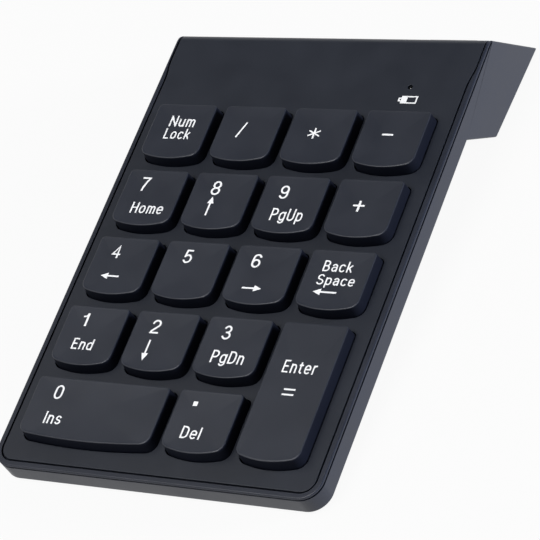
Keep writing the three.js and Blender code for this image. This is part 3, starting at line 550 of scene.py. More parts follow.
def keycap(w, l, top):
    """A cap with its stem, as one closed skin from the stem's foot, out, over and into the dish."""
    height = top + KEY_SKIRT

    def ring(grow, z):
        return [(x, y, z) for x, y in key_outline(w, l, grow)]

    def flare(z):
        return KEY_FLARE * (top - z) / height

    def scaled(share):
        return [
            (x * share, y * share, top - key_dish(x * share, y * share, w, l))
            for x, y in key_outline(w, l, -KEY_EDGE)
        ]

    def round_ring(z):
        points = [Vector(p).normalized() * STEM_R for p in key_outline(w, l, -KEY_WALL)]
        return [(p.x, p.y, z) for p in points]

    roof = top - KEY_WALL
    rings = [round_ring(STEM_FOOT), round_ring(roof), ring(-KEY_WALL, roof), ring(-KEY_WALL, -KEY_SKIRT)]
    inward, upward = SKIRT_CHAMFER
    rings += [ring(KEY_FLARE - inward, -KEY_SKIRT), ring(KEY_FLARE - SKIRT_LIP, -KEY_SKIRT + upward)]
    rings += [ring(flare(top * share), top * share) for share in SIDE_SHARES]
    for angle in range(0, 91, 18):
        t = radians(angle)
        z = top - KEY_EDGE * (1 - sin(t))
        rings.append(ring(flare(z) * cos(t) - KEY_EDGE * (1 - cos(t)), z))
    rings += [scaled(share) for share in DISH_SHARES]
    return loft(rings)


KEYS = sorted(n for n in frame["nodes"] if n.startswith("key_"))
STEM_FOOT = deck_box("key_5")[0].z


def key_size(name):
    low, high = deck_box(name)
    middle = (low + high) / 2
    w, l = high.x - low.x - 2 * CAD_FLARE, high.y - low.y - 2 * CAD_FLARE
    return middle.x, middle.y, w, l, high.z


def make_keys():
    for name in KEYS:
        x, y, w, l, top = key_size(name)
        cap = keycap(w, l, top)
        bmesh.ops.translate(cap, verts=cap.verts, vec=(x, y, 0))
        # Faces below the top's rounded edge take the darker copy of the key plastic: painted shade on the
        # key sides.
        for face in cap.faces:
            face.material_index = int(face.calc_center_median().z < top - PAINTED_SHADE_BELOW * KEY_EDGE)
        made = piece(name + "_cap", cap, name, "key_plastic", [name], weighted=False)
        made.data.materials.append(FINISH["key_skirt"])


# ---------- lettering
# Letters are drawn with a pen of one width. Each glyph is its width and its strokes: points, and
# elliptical arcs given as (x, y, half width, half height, from, to). Their lengths are hundredths
# of a capital's height, and small letters reach to SMALL. PEN and LETTER_GAP are shares of that
# height. A stroke that ends where it starts is closed.
PEN = 0.13
LETTER_GAP = 0.32
SMALL = 69
MITRE = 1.6
ARC_STEP = 20

STEM = [(0, 0), (0, 100)]
SHORT_STEM = [(0, 0), (0, SMALL)]
BOWL = [(22, 45, 22, 24, 0, 180), (22, 24, 22, 24, 180, 360), (44, 45)]
GLYPHS = {
    "0": (50, [[(25, 70, 25, 30, 0, 180), (25, 30, 25, 30, 180, 360), (50, 70)]]),
    "1": (27, [[(27, 0), (27, 100)], [(4, 77), (14, 80), (22, 88), (26, 96)]]),
    "2": (50, [[(25, 73, 25, 27, 170, -35), (4, 14), (0, 0), (48, 0)]]),
    "3": (50, [
        [(24, 75.5, 22, 24.5, 155, -90), (20, 51)],
        [(20, 51), (24, 25.5, 26, 25.5, 90, -155)],
    ]),
    "4": (52, [[(39, 0), (39, 100), (0, 27), (52, 27)]]),
    "5": (50, [[(44, 100), (9, 100), (4, 50)], [(24, 31, 26, 31, 140, -150)]]),
    "6": (50, [[(25, 29, 25, 29, 0, 360)], [(0, 29), (25, 70, 25, 30, 180, 30)]]),
    "7": (48, [[(0, 100), (48, 100), (34, 72), (24, 44), (17, 20), (15, 0)]]),
    "8": (50, [[(25, 75, 22, 25, 0, 360)], [(25, 26, 25, 26, 0, 360)]]),
    "9": (50, [[(25, 71, 25, 29, 0, 360)], [(50, 71), (25, 30, 25, 30, 0, -150)]]),
    "*": (87, [[(43, 0), (43, 100)], [(0, 25), (87, 75)], [(0, 75), (87, 25)]]),
    "B": (50, [
        [(0, 0), (0, 100), (24, 76, 22, 24, 90, -90), (0, 52)],
        [(0, 52), (25, 26, 25, 26, 90, -90), (0, 0)],
    ]),
    "D": (52, [
        [(0, 0), (0, 100), (22, 66, 30, 34, 90, 0), (22, 34, 30, 34, 0, -90), (0, 0)],
    ]),
    "E": (42, [[(40, 100), (0, 100), (0, 0), (42, 0)], [(0, 52), (34, 52)]]),
    "H": (52, [STEM, [(52, 0), (52, 100)], [(0, 52), (52, 52)]]),
    "I": (0, [STEM]),
    "L": (38, [[(0, 100), (0, 0), (38, 0)]]),
    "N": (54, [STEM, [(2, 94), (52, 6)], [(54, 0), (54, 100)]]),
    "P": (50, [[(0, 0), (0, 100), (24, 73, 26, 27, 90, -90), (0, 46)]]),
    "S": (50, [[(25, 75, 24, 25, 30, 230), (25, 25, 26, 25, 50, -150)]]),
    "U": (52, [[(0, 100), (26, 28, 26, 28, 180, 360), (52, 100)]]),
    "a": (40, [
        [(20, 49, 20, 20, 150, 0), (40, 0)],
        [(40, 40), (17, 20, 17, 20, 90, 270), (36, 10)],
    ]),
    "c": (40, [[(22, 45, 22, 24, 40, 180), (22, 24, 22, 24, 180, 320)]]),
    "d": (44, [BOWL, [(44, 0), (44, 100)]]),
    "e": (44, [
        [(5, 35), (44, 35), (22, 46, 22, 23, 0, 180), (22, 23, 22, 23, 180, 315)],
    ]),
    "g": (44, [BOWL, [(44, SMALL), (22, -6, 22, 21, 0, -150)]]),
    "k": (40, [STEM, [(36, 66), (4, 28)], [(16, 38), (39, 3)]]),
    "l": (0, [STEM]),
    "m": (64, [
        SHORT_STEM,
        [(16, 50, 16, 19, 180, 0), (32, 0)],
        [(48, 50, 16, 19, 180, 0), (64, 0)],
    ]),
    "n": (40, [SHORT_STEM, [(20, 47, 20, 22, 180, 0), (40, 0)]]),
    "o": (44, [BOWL]),
    "p": (44, [BOWL, [(0, -27), (0, SMALL)]]),
    "r": (24, [SHORT_STEM, [(22, 47, 22, 22, 180, 90)]]),
    "s": (38, [[(19, 52, 18, 17, 30, 230), (19, 17, 19, 17, 50, -150)]]),
    "t": (26, [
        [(10, 88), (10, 16), (26, 16, 16, 16, 180, 260)],
        [(0, SMALL), (24, SMALL)],
    ]),
    "u": (40, [[(0, SMALL), (20, 22, 20, 22, 180, 360)], [(40, 0), (40, SMALL)]]),
}


def stroke_line(stroke):
    """The points of a stroke, with its arcs worked out."""
    line = []
    for step in stroke:
        if len(step) == 2:
            line.append(Vector(value / 100 for value in step))
            continue
        x, y, half_w, half_h = (value / 100 for value in step[:4])
        start, end = step[4:]
        count = max(2, round(abs(end - start) / ARC_STEP))
        for i in range(count + 1):
            t = radians(start + (end - start) * i / count)
            line.append(Vector((x + half_w * cos(t), y + half_h * sin(t))))
    return [p for i, p in enumerate(line) if i == 0 or (p - line[i - 1]).length > 1e-6]


def pen_patches(line, width, overrun=0):
    """Four-cornered patches along a line drawn with a pen, its open ends run on a little."""
    closed = (line[0] - line[-1]).length < 1e-6
    spots = line[:-1] if closed else line[:]
    if not closed:
        spots[0] = spots[0] + (spots[0] - spots[1]).normalized() * overrun
        spots[-1] = spots[-1] + (spots[-1] - spots[-2]).normalized() * overrun
    count = len(spots)
    sides = []
    for i, spot in enumerate(spots):
        ways = []
        if closed or i > 0:
            ways.append((spot - spots[i - 1]).normalized())
        if closed or i < count - 1:
            ways.append((spots[(i + 1) % count] - spot).normalized())
        across = [Vector((-way.y, way.x)) for way in ways]
        middle = sum(across, Vector((0, 0))).normalized()
        reach = width / 2 * min(MITRE, 1 / max(middle.dot(across[0]), 0.01))
        sides.append((spot + middle * reach, spot - middle * reach))
    pairs = list(zip(sides, sides[1:]))
    if closed:
        pairs.append((sides[-1], sides[0]))
    return [(a[0], a[1], b[1], b[0]) for a, b in pairs]


def word_patches(text, left, right, low, high):
    """A word fitted to a width, with its capitals between two heights."""
    patches = []
    start = 0
    for letter in text:
        width, strokes = GLYPHS[letter]
        for stroke in strokes:
            for patch in pen_patches(stroke_line(stroke), PEN, PEN / 2):
                patches.append([Vector((p.x + start, p.y)) for p in patch])
        start += width / 100 + LETTER_GAP
    reach = [p.x for patch in patches for p in patch]
    across = (right - left) / (max(reach) - min(reach))
    up = (high - low) / (1 + PEN)
    return [
        [Vector((left + (p.x - min(reach)) * across, low + (p.y + PEN / 2) * up)) for p in patch]
        for patch in patches
    ]


def arrow_patches(tail, tip):
    """An arrow with a solid head, from its tail to its tip."""
    way = (tip - tail).normalized()
    across = Vector((-way.y, way.x)) * ARROW_HALF
    neck = tip - way * ARROW_HEAD
    return pen_patches([tail, neck + way * 0.1], ARROW_SHAFT) + [(neck + across, neck - across, tip)]


def inked(patches, thick=INK):
    """One flat body over all the patches, as thick as the ink or as told."""
    corners, outlines = [], []
    for patch in patches:
        outlines.append([len(corners) + i for i in range(len(patch))])
        corners += patch
    spots, _, found, _, _, sources = delaunay_2d_cdt(corners, [], outlines, 0, 1e-5, True)
    kept = [face for face, source in zip(found, sources) if source]
    made = bmesh.new()
    used = {i for face in kept for i in face}
    low = {i: made.verts.new((*spots[i], -thick / 2)) for i in used}
    high = {i: made.verts.new((*spots[i], thick / 2)) for i in used}
    edges = set()
    for face in kept:
        made.faces.new([high[i] for i in face])
        made.faces.new([low[i] for i in face[::-1]])
        edges.update(zip(face, face[1:] + face[:1]))
    for a, b in edges:
        if (b, a) not in edges:
            made.faces.new((low[a], low[b], high[b], high[a]))
    return made


# ---------- legends
# Places are in millimetres from the cap's left and rear edges. A word and a bar have their left,
# right, rear and front edges; an arrow and a line have their two ends.
LEGENDS = {
    "key_num_lock": [("Num", 4.75, 11.75, 3.25, 6.3), ("Lock", 4.65, 11.75, 6.9, 9.85)],
    "key_divide": [("line", 5.45, 8.7, 7.05, 4.5)],
    "key_multiply": [("*", 5.35, 8.55, 5.4, 8.3)],
    "key_minus": [("bar", 5.55, 8.4, 6.3, 6.75)],
    "key_7": [("7", 4.25, 6.65, 2.05, 5.85), ("Home", 4.35, 13.2, 9.05, 12.05)],
    "key_8": [("8", 4.95, 7.4, 2.2, 6.0), ("arrow", 6.15, 11.65, 6.15, 6.45)],
    "key_9": [("9", 4.35, 6.6, 2.55, 6.1), ("PgUp", 4.3, 12.6, 8.7, 12.0)],
    "key_plus": [("bar", 5.3, 8.2, 6.7, 7.15), ("bar", 6.55, 7.1, 5.65, 8.5)],
    "key_4": [("4", 4.45, 6.85, 2.2, 5.6), ("arrow", 9.0, 10.5, 4.1, 10.5)],
    "key_5": [("5", 5.15, 7.45, 2.2, 5.75)],
    "key_6": [("6", 4.4, 6.7, 2.2, 5.75), ("arrow", 4.5, 11.15, 9.5, 11.15)],
    "key_backspace": [
        ("Back", 3.95, 11.4, 2.7, 5.5),
        ("Space", 3.65, 13.1, 6.3, 9.0),
        ("arrow", 9.6, 10.85, 3.7, 10.85),
    ],
    "key_1": [("1", 4.4, 6.0, 1.85, 5.2), ("End", 4.5, 10.1, 8.45, 11.35)],
    "key_2": [("2", 4.45, 6.8, 2.1, 5.65), ("arrow", 5.6, 7.35, 5.6, 12.75)],
    "key_3": [("3", 4.35, 6.6, 2.15, 5.7), ("PgDn", 3.95, 12.35, 8.5, 11.7)],
    "key_enter": [
        ("Enter", 3.75, 12.15, 9.45, 12.6),
        ("bar", 6.05, 8.9, 16.45, 16.85),
        ("bar", 5.95, 8.85, 17.75, 18.15),
    ],
    "key_0": [("0", 5.5, 7.7, 1.9, 5.5), ("Ins", 5.7, 10.2, 8.75, 11.8)],
    "key_decimal": [("bar", 4.25, 5.35, 2.75, 3.85), ("Del", 4.15, 9.1, 8.9, 11.95)],
}
ARROW_SHAFT = 0.42
ARROW_HEAD = 1.9
ARROW_HALF = 0.85


def make_legends():
    for name, marks in LEGENDS.items():
        x, y, w, l, top = key_size(name)
        left, rear = x - w / 2, y + l / 2
        patches = []
        for kind, *spots in marks:
            if kind in ("arrow", "line"):
                x0, y0, x1, y1 = spots
                ends = [Vector((left + x0, rear - y0)), Vector((left + x1, rear - y1))]
                patches += arrow_patches(*ends) if kind == "arrow" else pen_patches(ends, ARROW_SHAFT)
            elif kind == "bar":
                x0, x1, y0, y1 = spots
                patches.append([Vector(p) for p in rectangle(left + x0, left + x1, rear - y1, rear - y0)])
            else:
                x0, x1, y0, y1 = spots
                patches += word_patches(kind, left + x0, left + x1, rear - y1, rear - y0)
        drawn = inked(patches)
        for v in drawn.verts:
            v.co.z += top - key_dish(v.co.x - x, v.co.y - y, w, l)
        piece(name + "_legend", drawn, name, "legend_ink", weighted=False)


SYMBOL = (24.75, 29.6, 4.4, 6.5)
SYMBOL_LINE = 0.34
SYMBOL_NUB = 0.75
SYMBOL_CHARGE = 1.5
SYMBOL_STEP = 0.5


def rectangle(x0, x1, y0, y1):
    return [(x0, y0), (x1, y0), (x1, y1), (x0, y1)]


def make_battery_symbol():
    """A printed battery: an outline a third full, with an open nub at its left end."""
    x0, x1, y0, y1 = SYMBOL
    shoulder = x0 + SYMBOL_NUB
    low, high = y0 + SYMBOL_STEP, y1 - SYMBOL_STEP
    outside = [(shoulder, y0), (x1, y0), (x1, y1), (shoulder, y1)]
    outside += [(shoulder, high), (x0, high), (x0, low), (shoulder, low)]
    line = SYMBOL_LINE
    empty = rectangle(shoulder + SYMBOL_CHARGE, x1 - line, y0 + line, y1 - line)
    nub = rectangle(x0 + line, shoulder, low + line, high - line)
    symbol = flat_shape([outside, empty, nub], -INK / 2, INK / 2)
    piece("battery_symbol", symbol, "case", "legend_ink", weighted=False)


# ---------- casing
PLATE_SLICES = 12


def make_plate():
    """The cover plate is drawn flat, with a hole for each key, and its rear edge is rolled over."""
    straight = REAR - REAR_TANGENT
    left_over = PLATE_LIP - REAR_RADIUS * (1 - cos(REAR_TURN))
    lip = REAR_RADIUS * REAR_TURN + left_over / sin(REAR_TURN)
    outlines = [panel(RIM + GROOVE, RIM_REAR + GROOVE, straight + lip)]
    for name in KEYS:
        x, y, w, l, _ = key_size(name)
        outlines.append([(x + a, y + b) for a, b in key_outline(w, l, KEY_FLARE + KEY_GAP)])
    outlines.append(hole(PINHOLE, PINHOLE_R))
    plate = flat_shape(outlines, -PLATE, 0, PLATE_ROUND)
    for i in range(PLATE_SLICES):
        everything = plate.verts[:] + plate.edges[:] + plate.faces[:]
        cut = (0, straight + lip * i / PLATE_SLICES, 0)
        bmesh.ops.bisect_plane(plate, geom=everything, plane_co=cut, plane_no=(0, 1, 0))
    for v in plate.verts:
        v.co.y, v.co.z = rolled(v.co.y, v.co.z)
    piece("cover_plate_skin", plate, "case", "plate_plastic", ["cover_plate"])


def layer(low, high):
    """A block between two heights that reaches past the case all round."""
    return block(-BEYOND, BEYOND, -2 * BEYOND, BEYOND, low, high)


def envelope_between(low, high):
    return boolean(envelope(), layer(low, high), "INTERSECT")


def on_outside(spot):
    """Whether a point lies on the outside of the case in plan."""
    side, front = abs(spot.x) - (HALF - CORNER), (FRONT + CORNER) - spot.y
    reach = hypot(max(side, 0), max(front, 0)) if side > 0 and front > 0 else max(side, front)
    return reach > CORNER - 0.03


def parting_rounded(made, height):
    """Rounds the outside edge that faces the parting line at a height."""
    edges = []
    for edge in made.edges:
        outside = all(abs(v.co.z - height) < 1e-3 and on_outside(v.co) for v in edge.verts)
        if outside and is_sharp(edge):
            edges.append(edge)
    bevel(made, edges, PARTING_ROUND, 2)
    return made


def make_upper_case():
    ring = parting_rounded(envelope_between(-RIM_HEIGHT, SLAB), -RIM_HEIGHT)
    ring = carved(ring, flat_shape([panel(RIM, RIM_REAR, BEYOND)], -SLAB, SLAB))
    piece("upper_rim", ring, "case", "case_plastic")
    inner = carved(cad_solid("upper_case"), layer(-RECESS, BEYOND))
    deck = piece("upper_case_deck", inner, "case", "case_plastic", ["upper_case"])
    # The deck under the plate takes the darker copy of the key plastic: painted shade where it shows
    # between keys and plate.
    deck.data.materials[0] = FINISH["key_skirt"]


def make_lower_case():
    shell = boolean(cad_solid("lower_case"), envelope_between(-BEYOND, -PARTING_LOW), "INTERSECT")
    shell = parting_rounded(shell, -PARTING_LOW)
    piece("lower_case_shell", shell, "case", "case_plastic", ["lower_case"])


DOOR_ENGRAVING = 0.35
GRIP_REAR = 6
GRIP_PITCH = 1.6
GRIP_REACH = 7
GRIP_HALF = 0.35
GRIP_ROUND = 0.1
DOOR_ARROW = [(-2, 0), (2, 0), (0, 3)]
DOOR_ARROW_AHEAD = 7


def make_door():
    """The battery door, with an arrow and three grip grooves cut into its sole near the rear."""
    door = boolean(cad_solid("battery_door"), envelope(), "INTERSECT")
    middle = sum(deck_box("battery_door"), Vector()) / 2
    fall = Matrix.Rotation(-LEAN, 4, "X")
    deep = DOOR_ENGRAVING
    sole_y = middle.y + GRIP_REAR
    sole_z = SOLE[0][1] - (sole_y - SOLE[0][0]) * tan(LEAN)
    for i in range(3):
        y = GRIP_PITCH * i
        sides = (-GRIP_REACH, GRIP_REACH, y - GRIP_HALF, y + GRIP_HALF)
        groove = round_block(*sides, -deep, deep, GRIP_ROUND, 1)
        door = carved(door, placed(groove, middle.x, sole_y, sole_z, fall))
    arrow = inked([[Vector(p) for p in DOOR_ARROW]], 2 * deep)
    ahead = DOOR_ARROW_AHEAD
    arrow = placed(arrow, middle.x, sole_y - ahead, sole_z + ahead * tan(LEAN), fall)
    door = carved(door, arrow)
    piece("battery_door_panel", door, "battery_door", "case_plastic", ["battery_door"])


# ---------- under the keys
DOME_WALL = 0.45
DOME_HOLE = 2.6
DOME_DIMPLE = 0.15
SHEET_THICK = 0.3
SHEET_CORNER = 2
RUBBER_TOP = deck_box("dome_sheet")[0].z + SHEET_THICK
DOME_TOP = deck_box("dome_sheet")[1].z


def dome_profile(rise):
    """A dome's outline as (radius, height): up its outside, over its top and down its inside."""
    dimple = rise - DOME_DIMPLE
    outside = [(DOME_HOLE, 0), (3.3, 0), (3.25, 0.12), (2.9, 0.3), (2.75, 0.55 * rise)]
    top = [(2.4, 0.82 * rise), (2.15, 0.95 * rise), (1.95, rise), (0.9, rise), (0.8, dimple)]
    inside = [(0.1, dimple), (0.1, rise - 0.6), (1.7, rise - DOME_WALL), (2.0, 0.78 * rise)]
    return outside + top + inside + [(2.3, 0.5 * rise), (2.45, 0.3)]


def make_domes():
    """The rubber sheet, and on it one dome for each key."""
    low, high = deck_box("dome_sheet")
    outlines = [round_rectangle(low.x, high.x, low.y, high.y, SHEET_CORNER)]
    for name in KEYS:
        x, y = key_size(name)[:2]
        outlines.append(hole((x, y), DOME_HOLE))
        dome = placed(turned(dome_profile(DOME_TOP - RUBBER_TOP)), x, y, RUBBER_TOP)
        dome = piece(f"dome_{name}", dome, "case", "dome_silicone")
        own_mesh(dome)
    sheet = flat_shape(outlines, RUBBER_TOP - SHEET_THICK, RUBBER_TOP)
    piece("dome_sheet_base", sheet, "case", "dome_silicone", ["dome_sheet"])


TAIL_LEFT = 8
TAIL_RIGHT = 22
FILM_REAR = 1.6
DOT_R = 2.1
TRACK = 0.5
TRACK_END = 0.4

# How far the first track keeps from the film's right, rear and tail edges, and each next one adds.
TRACK_IN = (1.2, 0.8, 1.5)
TRACK_PITCH = (0.9, 0.6, 1.4)


def make_membrane():
    """The contact film, with a printed silver dot under each key and lines that join them up."""
    low, high = deck_box("membrane_sheet")
    outline = [(low.x, low.y), (high.x, low.y), (high.x, FILM_REAR), (TAIL_RIGHT, FILM_REAR)]
    outline += [(TAIL_RIGHT, high.y), (TAIL_LEFT, high.y), (TAIL_LEFT, FILM_REAR), (low.x, FILM_REAR)]
    film = flat_shape([outline], low.z, high.z)
    piece("membrane_film", film, "case", "membrane_film", ["membrane_sheet"])
    patches = []
    places = [Vector(key_size(name)[:2]) for name in KEYS]
    for spot in places:
        patches.append([Vector(p) for p in arc(spot, DOT_R, 0, 340, 17)])
    rows = sorted({round(spot.y, 1) for spot in places})
    for number, row in enumerate(rows):
        first = min(spot.x for spot in places if abs(spot.y - row) < 0.1)
        side_in, rear_in, tail_in = (a + b * number for a, b in zip(TRACK_IN, TRACK_PITCH))
        edge, rear, tail = high.x - side_in, FILM_REAR - rear_in, TAIL_LEFT + tail_in
        track = [(first, row), (edge, row), (edge, rear), (tail, rear), (tail, high.y - TRACK_END)]
        patches += pen_patches([Vector(p) for p in track], TRACK)
    tracks = placed(inked(patches), z=high.z)
    piece("membrane_tracks", tracks, "case", "contact_metal", weighted=False)


BACKING_HOLE = 0.9
BACKING_HOLE_IN = 2.2
BACKING_HOLES_FROM = -85
BACKING_HOLE_PITCH = 19


def make_backing():
    """The steel plate that stiffens the keys, with rounded corners and a row of holes each side."""
    low, high = deck_box("backing_plate")
    outlines = [round_rectangle(low.x, high.x, low.y, high.y, SHEET_CORNER)]
    for side in (low.x + BACKING_HOLE_IN, high.x - BACKING_HOLE_IN):
        for i in range(5):
            spot = (side, BACKING_HOLES_FROM + BACKING_HOLE_PITCH * i)
            outlines.append(arc(spot, BACKING_HOLE, 0, 345, 15))
    sheet = flat_shape(outlines, low.z, high.z, 0.05, 1)
    piece("backing_sheet", sheet, "case", "backing_steel", ["backing_plate"])


WIRE_R = 0.4
WIRE_BEND = 1.2


def make_stabilisers():
    """Bent wires that keep the two long keys level: a bar under the key and two hooked legs."""
    for node, key in (("stabiliser_0", "key_0"), ("stabiliser_enter", "key_enter")):
        x, y = key_size(key)[:2]
        half, bar, hook, turn_in = 13, 5.2, -4.5, 2
        bar_z, hook_z = 0.6, -1.9
        corners = [(-half + turn_in, hook, hook_z), (-half, hook, hook_z), (-half, bar, bar_z)]
        corners += [(half, bar, bar_z), (half, hook, hook_z), (half - turn_in, hook, hook_z)]
        quarter = Matrix.Rotation(-pi / 2, 4, "Z") if key == "key_enter" else None
        wire = placed(tube(soft_path(corners, WIRE_BEND), WIRE_R), x, y, 0, quarter)
        piece(node + "_wire", wire, node, "wire_steel", [node], smooth=60)


# ---------- electronics
CHIP_LEGS = 8
LEG_IN = 0.6
LEG_OUT = 0.5
LEG_HALF = 0.14
DIMPLE_IN = 0.8
CAPACITORS = [(7, 8), (7, 10), (7, 12), (18, 8.5), (18, 12.5)]
CAPACITORS += [(25, 13.5), (28, 13.5), (31, 13.5), (31, 8)]
CAPACITOR_HALF = (0.5, 0.4)
SOLDER_OUT = 0.72
SOLDER_HALF = (0.22, 0.42)
CAN_FLANGE = 0.2


def leg_places(low, high):
    span = high - low - 2 * LEG_IN
    return [low + LEG_IN + span * i / (CHIP_LEGS - 1) for i in range(CHIP_LEGS)]


def make_chip(top):
    """The controller: a moulded body with a dimple by its first leg, and legs on all four sides."""
    low, high = deck_box("controller_chip")
    dimple = turned([(0.35, 0.2), (0.35, -0.08)], 16)
    dimple = placed(dimple, low.x + DIMPLE_IN, high.y - DIMPLE_IN, high.z)
    chip = carved(box_block("controller_chip", 0.12), dimple)
    piece("controller_chip_body", chip, "case", "chip_epoxy", ["controller_chip"])
    legs = []
    foot, knee = top + 0.02, top + 0.22
    for x in leg_places(low.x, high.x):
        for y in (low.y - LEG_OUT, high.y):
            legs.append(block(x - LEG_HALF, x + LEG_HALF, y, y + LEG_OUT, foot, knee))
    for y in leg_places(low.y, high.y):
        for x in (low.x - LEG_OUT, high.x):
            legs.append(block(x, x + LEG_OUT, y - LEG_HALF, y + LEG_HALF, foot, knee))
    piece("controller_chip_legs", together(legs), "case", "contact_metal")


def small_block(x, y, half_x, half_y, z0, z1):
    return round_block(x - half_x, x + half_x, y - half_y, y + half_y, z0, z1, 0.05, 1)


def make_capacitors(top):
    bodies, ends = [], []
    for x, y in CAPACITORS:
        bodies.append(small_block(x, y, *CAPACITOR_HALF, top + 0.02, top + 0.55))
        for end in (x - SOLDER_OUT, x + SOLDER_OUT):
            ends.append(small_block(end, y, *SOLDER_HALF, top + 0.01, top + 0.57))
    piece("board_capacitors", together(bodies), "case", "receiver_insulator")
    piece("board_solder_ends", together(ends), "case", "contact_metal")


def make_board():
    """The circuit board and what is soldered to it."""
    softened("circuit_board", "circuit_board_laminate", "case", "board_laminate", 0.08, 1)
    top = deck_box("circuit_board")[1].z
    make_chip(top)
    make_capacitors(top)
    low, high = deck_box("crystal")
    x0, x1, y0, y1 = low.x, high.x, low.y, high.y
    flange = round_block(x0, x1, y0, y1, low.z, low.z + 0.15, 0.05, 1)
    step = CAN_FLANGE
    can = round_block(x0 + step, x1 - step, y0 + step, y1 - step, low.z + 0.1, high.z, 0.18, 3)
    piece("crystal_can", boolean(flange, can, "UNION"), "case", "can_metal", ["crystal"])
    piece("status_led_lens", box_block("status_led", 0.12), "case", "led_clear", ["status_led"])
    low, high = deck_box("light_pipe")
    rod = (high.x - low.x) / 2
    profile = [(rod - 0.1, low.z), (rod, low.z + 0.1), (rod, -0.95), (0.35, -0.9), (0.35, -0.35)]
    pipe = placed(turned(profile + [(0.2, -0.25)]), (low.x + high.x) / 2, (low.y + high.y) / 2)
    piece("light_pipe_lens", pipe, "case", "pipe_clear", ["light_pipe"])
    softened("power_switch_body", "power_switch_can", "case", "can_metal", 0.1, 1)


RIB_PITCH = 0.55
RIB_CUT = 0.11
RIB_DEEP = 0.18


def make_knob():
    """The slide knob, with ribs for a fingernail on its rear face."""
    low, high = deck_box("power_switch_knob")
    knob = rounded(cad_solid("power_switch_knob"), 0.12, 2)
    middle = (low.x + high.x) / 2
    for i in range(-2, 3):
        x = middle + RIB_PITCH * i
        cut = block(x - RIB_CUT, x + RIB_CUT, high.y - RIB_DEEP, high.y + 1, low.z - 1, high.z + 1)
        knob = carved(knob, cut)
    piece("power_switch_knob_cap", knob, "power_switch_knob", "switch_plastic", ["power_switch_knob"])


# ---------- cells and contacts
CELL_BAND = 0.66
CELL_BUTTON = 0.9


def make_cells():
    """Each cell is a steel can with a button, in a printed sleeve that is rolled over its ends."""
    for node, way in (("battery_cell_front", 1), ("battery_cell_rear", -1)):
        low, high = deck_box(node)
        length, radius = high.x - low.x, (high.z - low.z) / 2
        centre = (low + high) / 2
        head, band = length - CELL_BUTTON, length * CELL_BAND
        can = [(3.2, 0.0), (4.3, 0.05), (4.7, 0.3), (4.9, 0.5), (4.9, head - 0.5), (4.6, head - 0.2)]
        can += [(4.3, head - 0.1), (4.2, head - 0.25), (2.3, head - 0.25), (1.9, head)]
        can += [(1.85, length - 0.15), (1.7, length)]
        sleeve = [(4.5, 0.25), (radius - 0.3, 0.2), (radius, 0.6), (radius, band - 0.05), (radius, band)]
        sleeve += [(radius, head - 0.8), (radius - 0.15, head - 0.4), (radius - 0.5, head), (4.5, head)]
        sleeve += [(4.7, head - 0.3), (4.95, head - 0.6), (4.95, 0.6)]
        spot = (low.x if way == 1 else high.x, centre.y, centre.z)
        turn = Matrix.Rotation(way * pi / 2, 4, "Y")
        piece(node + "_can", placed(turned(can, 40), *spot, turn), "case", "can_metal", [node])
        wrap = turned(sleeve, 40, hollow=True)
        for face in wrap.faces:
            face.material_index = int(face.calc_center_median().z > band)
        made = piece(node + "_sleeve", placed(wrap, *spot, turn), "case", "cell_sleeve")
        made.data.materials.append(FINISH["cell_band"])


SPRING_TURNS = 3.5
SPRING_REACH = 4.1
SPRING_R = 2.7
SPRING_TAPER = 1.1
SPRING_CLOSE = 1.08
SPRING_WIRE = 0.3
SPRING_STEPS = 90


def cone_spring(x, y, z, way):
    """A cone of wire that presses on a cell's flat end, its last turn lying flat."""
    path = []
    for i in range(SPRING_STEPS + 1):
        t = i / SPRING_STEPS
        angle = 2 * pi * SPRING_TURNS * t
        r = SPRING_R - SPRING_TAPER * t
        reach = way * SPRING_REACH * min(1, SPRING_CLOSE * t)
        path.append((x + reach, y + r * cos(angle), z + r * sin(angle)))
    return tube(path, SPRING_WIRE, 8)


def contact_dome(x, y, z, way):
    profile = [(1.8, -0.2), (1.7, 0.1), (1.35, 0.6), (0.9, 0.9), (0.4, 1.0), (0.1, 1.02)]
    return placed(turned(profile, 24), x, y, z, Matrix.Rotation(way * pi / 2, 4, "Y"))


STRIP = 0.5
STRIP_ROUND = 0.12
TAB_HALF = 0.8
SPRING_OFF = STRIP + 0.15


def strip(*sides):
    return round_block(*sides, STRIP_ROUND)


def make_contacts():
    """Plated strips at both ends of the battery bay: a spring on the flat ends, a dome on the buttons."""
    front, rear = [sum(deck_box(n), Vector()) / 2 for n in ("battery_cell_front", "battery_cell_rear")]
    low, high = deck_box("bridge_contact")
    x = low.x
    contacts = {"bridge_contact": [
        strip(x, x + STRIP, low.y, high.y, low.z, -8),
        cone_spring(x + SPRING_OFF, front.y, front.z, 1),
        contact_dome(x + STRIP, rear.y, rear.z, 1),
    ]}
    low, high = deck_box("positive_contact")
    x = high.x
    contacts["positive_contact"] = [
        strip(x - STRIP, x, low.y, high.y, low.z, -7.2),
        strip(x - STRIP, x, front.y - TAB_HALF, front.y + TAB_HALF, -7.5, high.z),
        contact_dome(x - STRIP, front.y, front.z, -1),
    ]
    low, high = deck_box("negative_contact")
    contacts["negative_contact"] = [
        strip(x - STRIP, x, low.y, high.y, low.z, -8.4),
        strip(x - STRIP, x, low.y, low.y + 2 * TAB_HALF, -8.7, high.z),
        cone_spring(x - SPRING_OFF, rear.y, rear.z, -1),
    ]
    for node, parts in contacts.items():
        piece(node + "_strip", together(parts), "case", "contact_metal", [node])


# ---------- receiver
SHELL_SHEET = 0.3
WINDOW_OUT = 2.5
WINDOW_HALF = 1.3
WINDOW_SPAN = (9.4, 7.2)
SEAM_HALF = 0.06
GILT_STARTS = (0.5, 1.2, 1.2, 0.5)
GILT_END = 4.5
GILT_SPAN = 7
GILT_HALF = 0.5
NOTCH_R = 0.25
NOTCH_FROM = 2.4
NOTCH_PITCH = 0.9


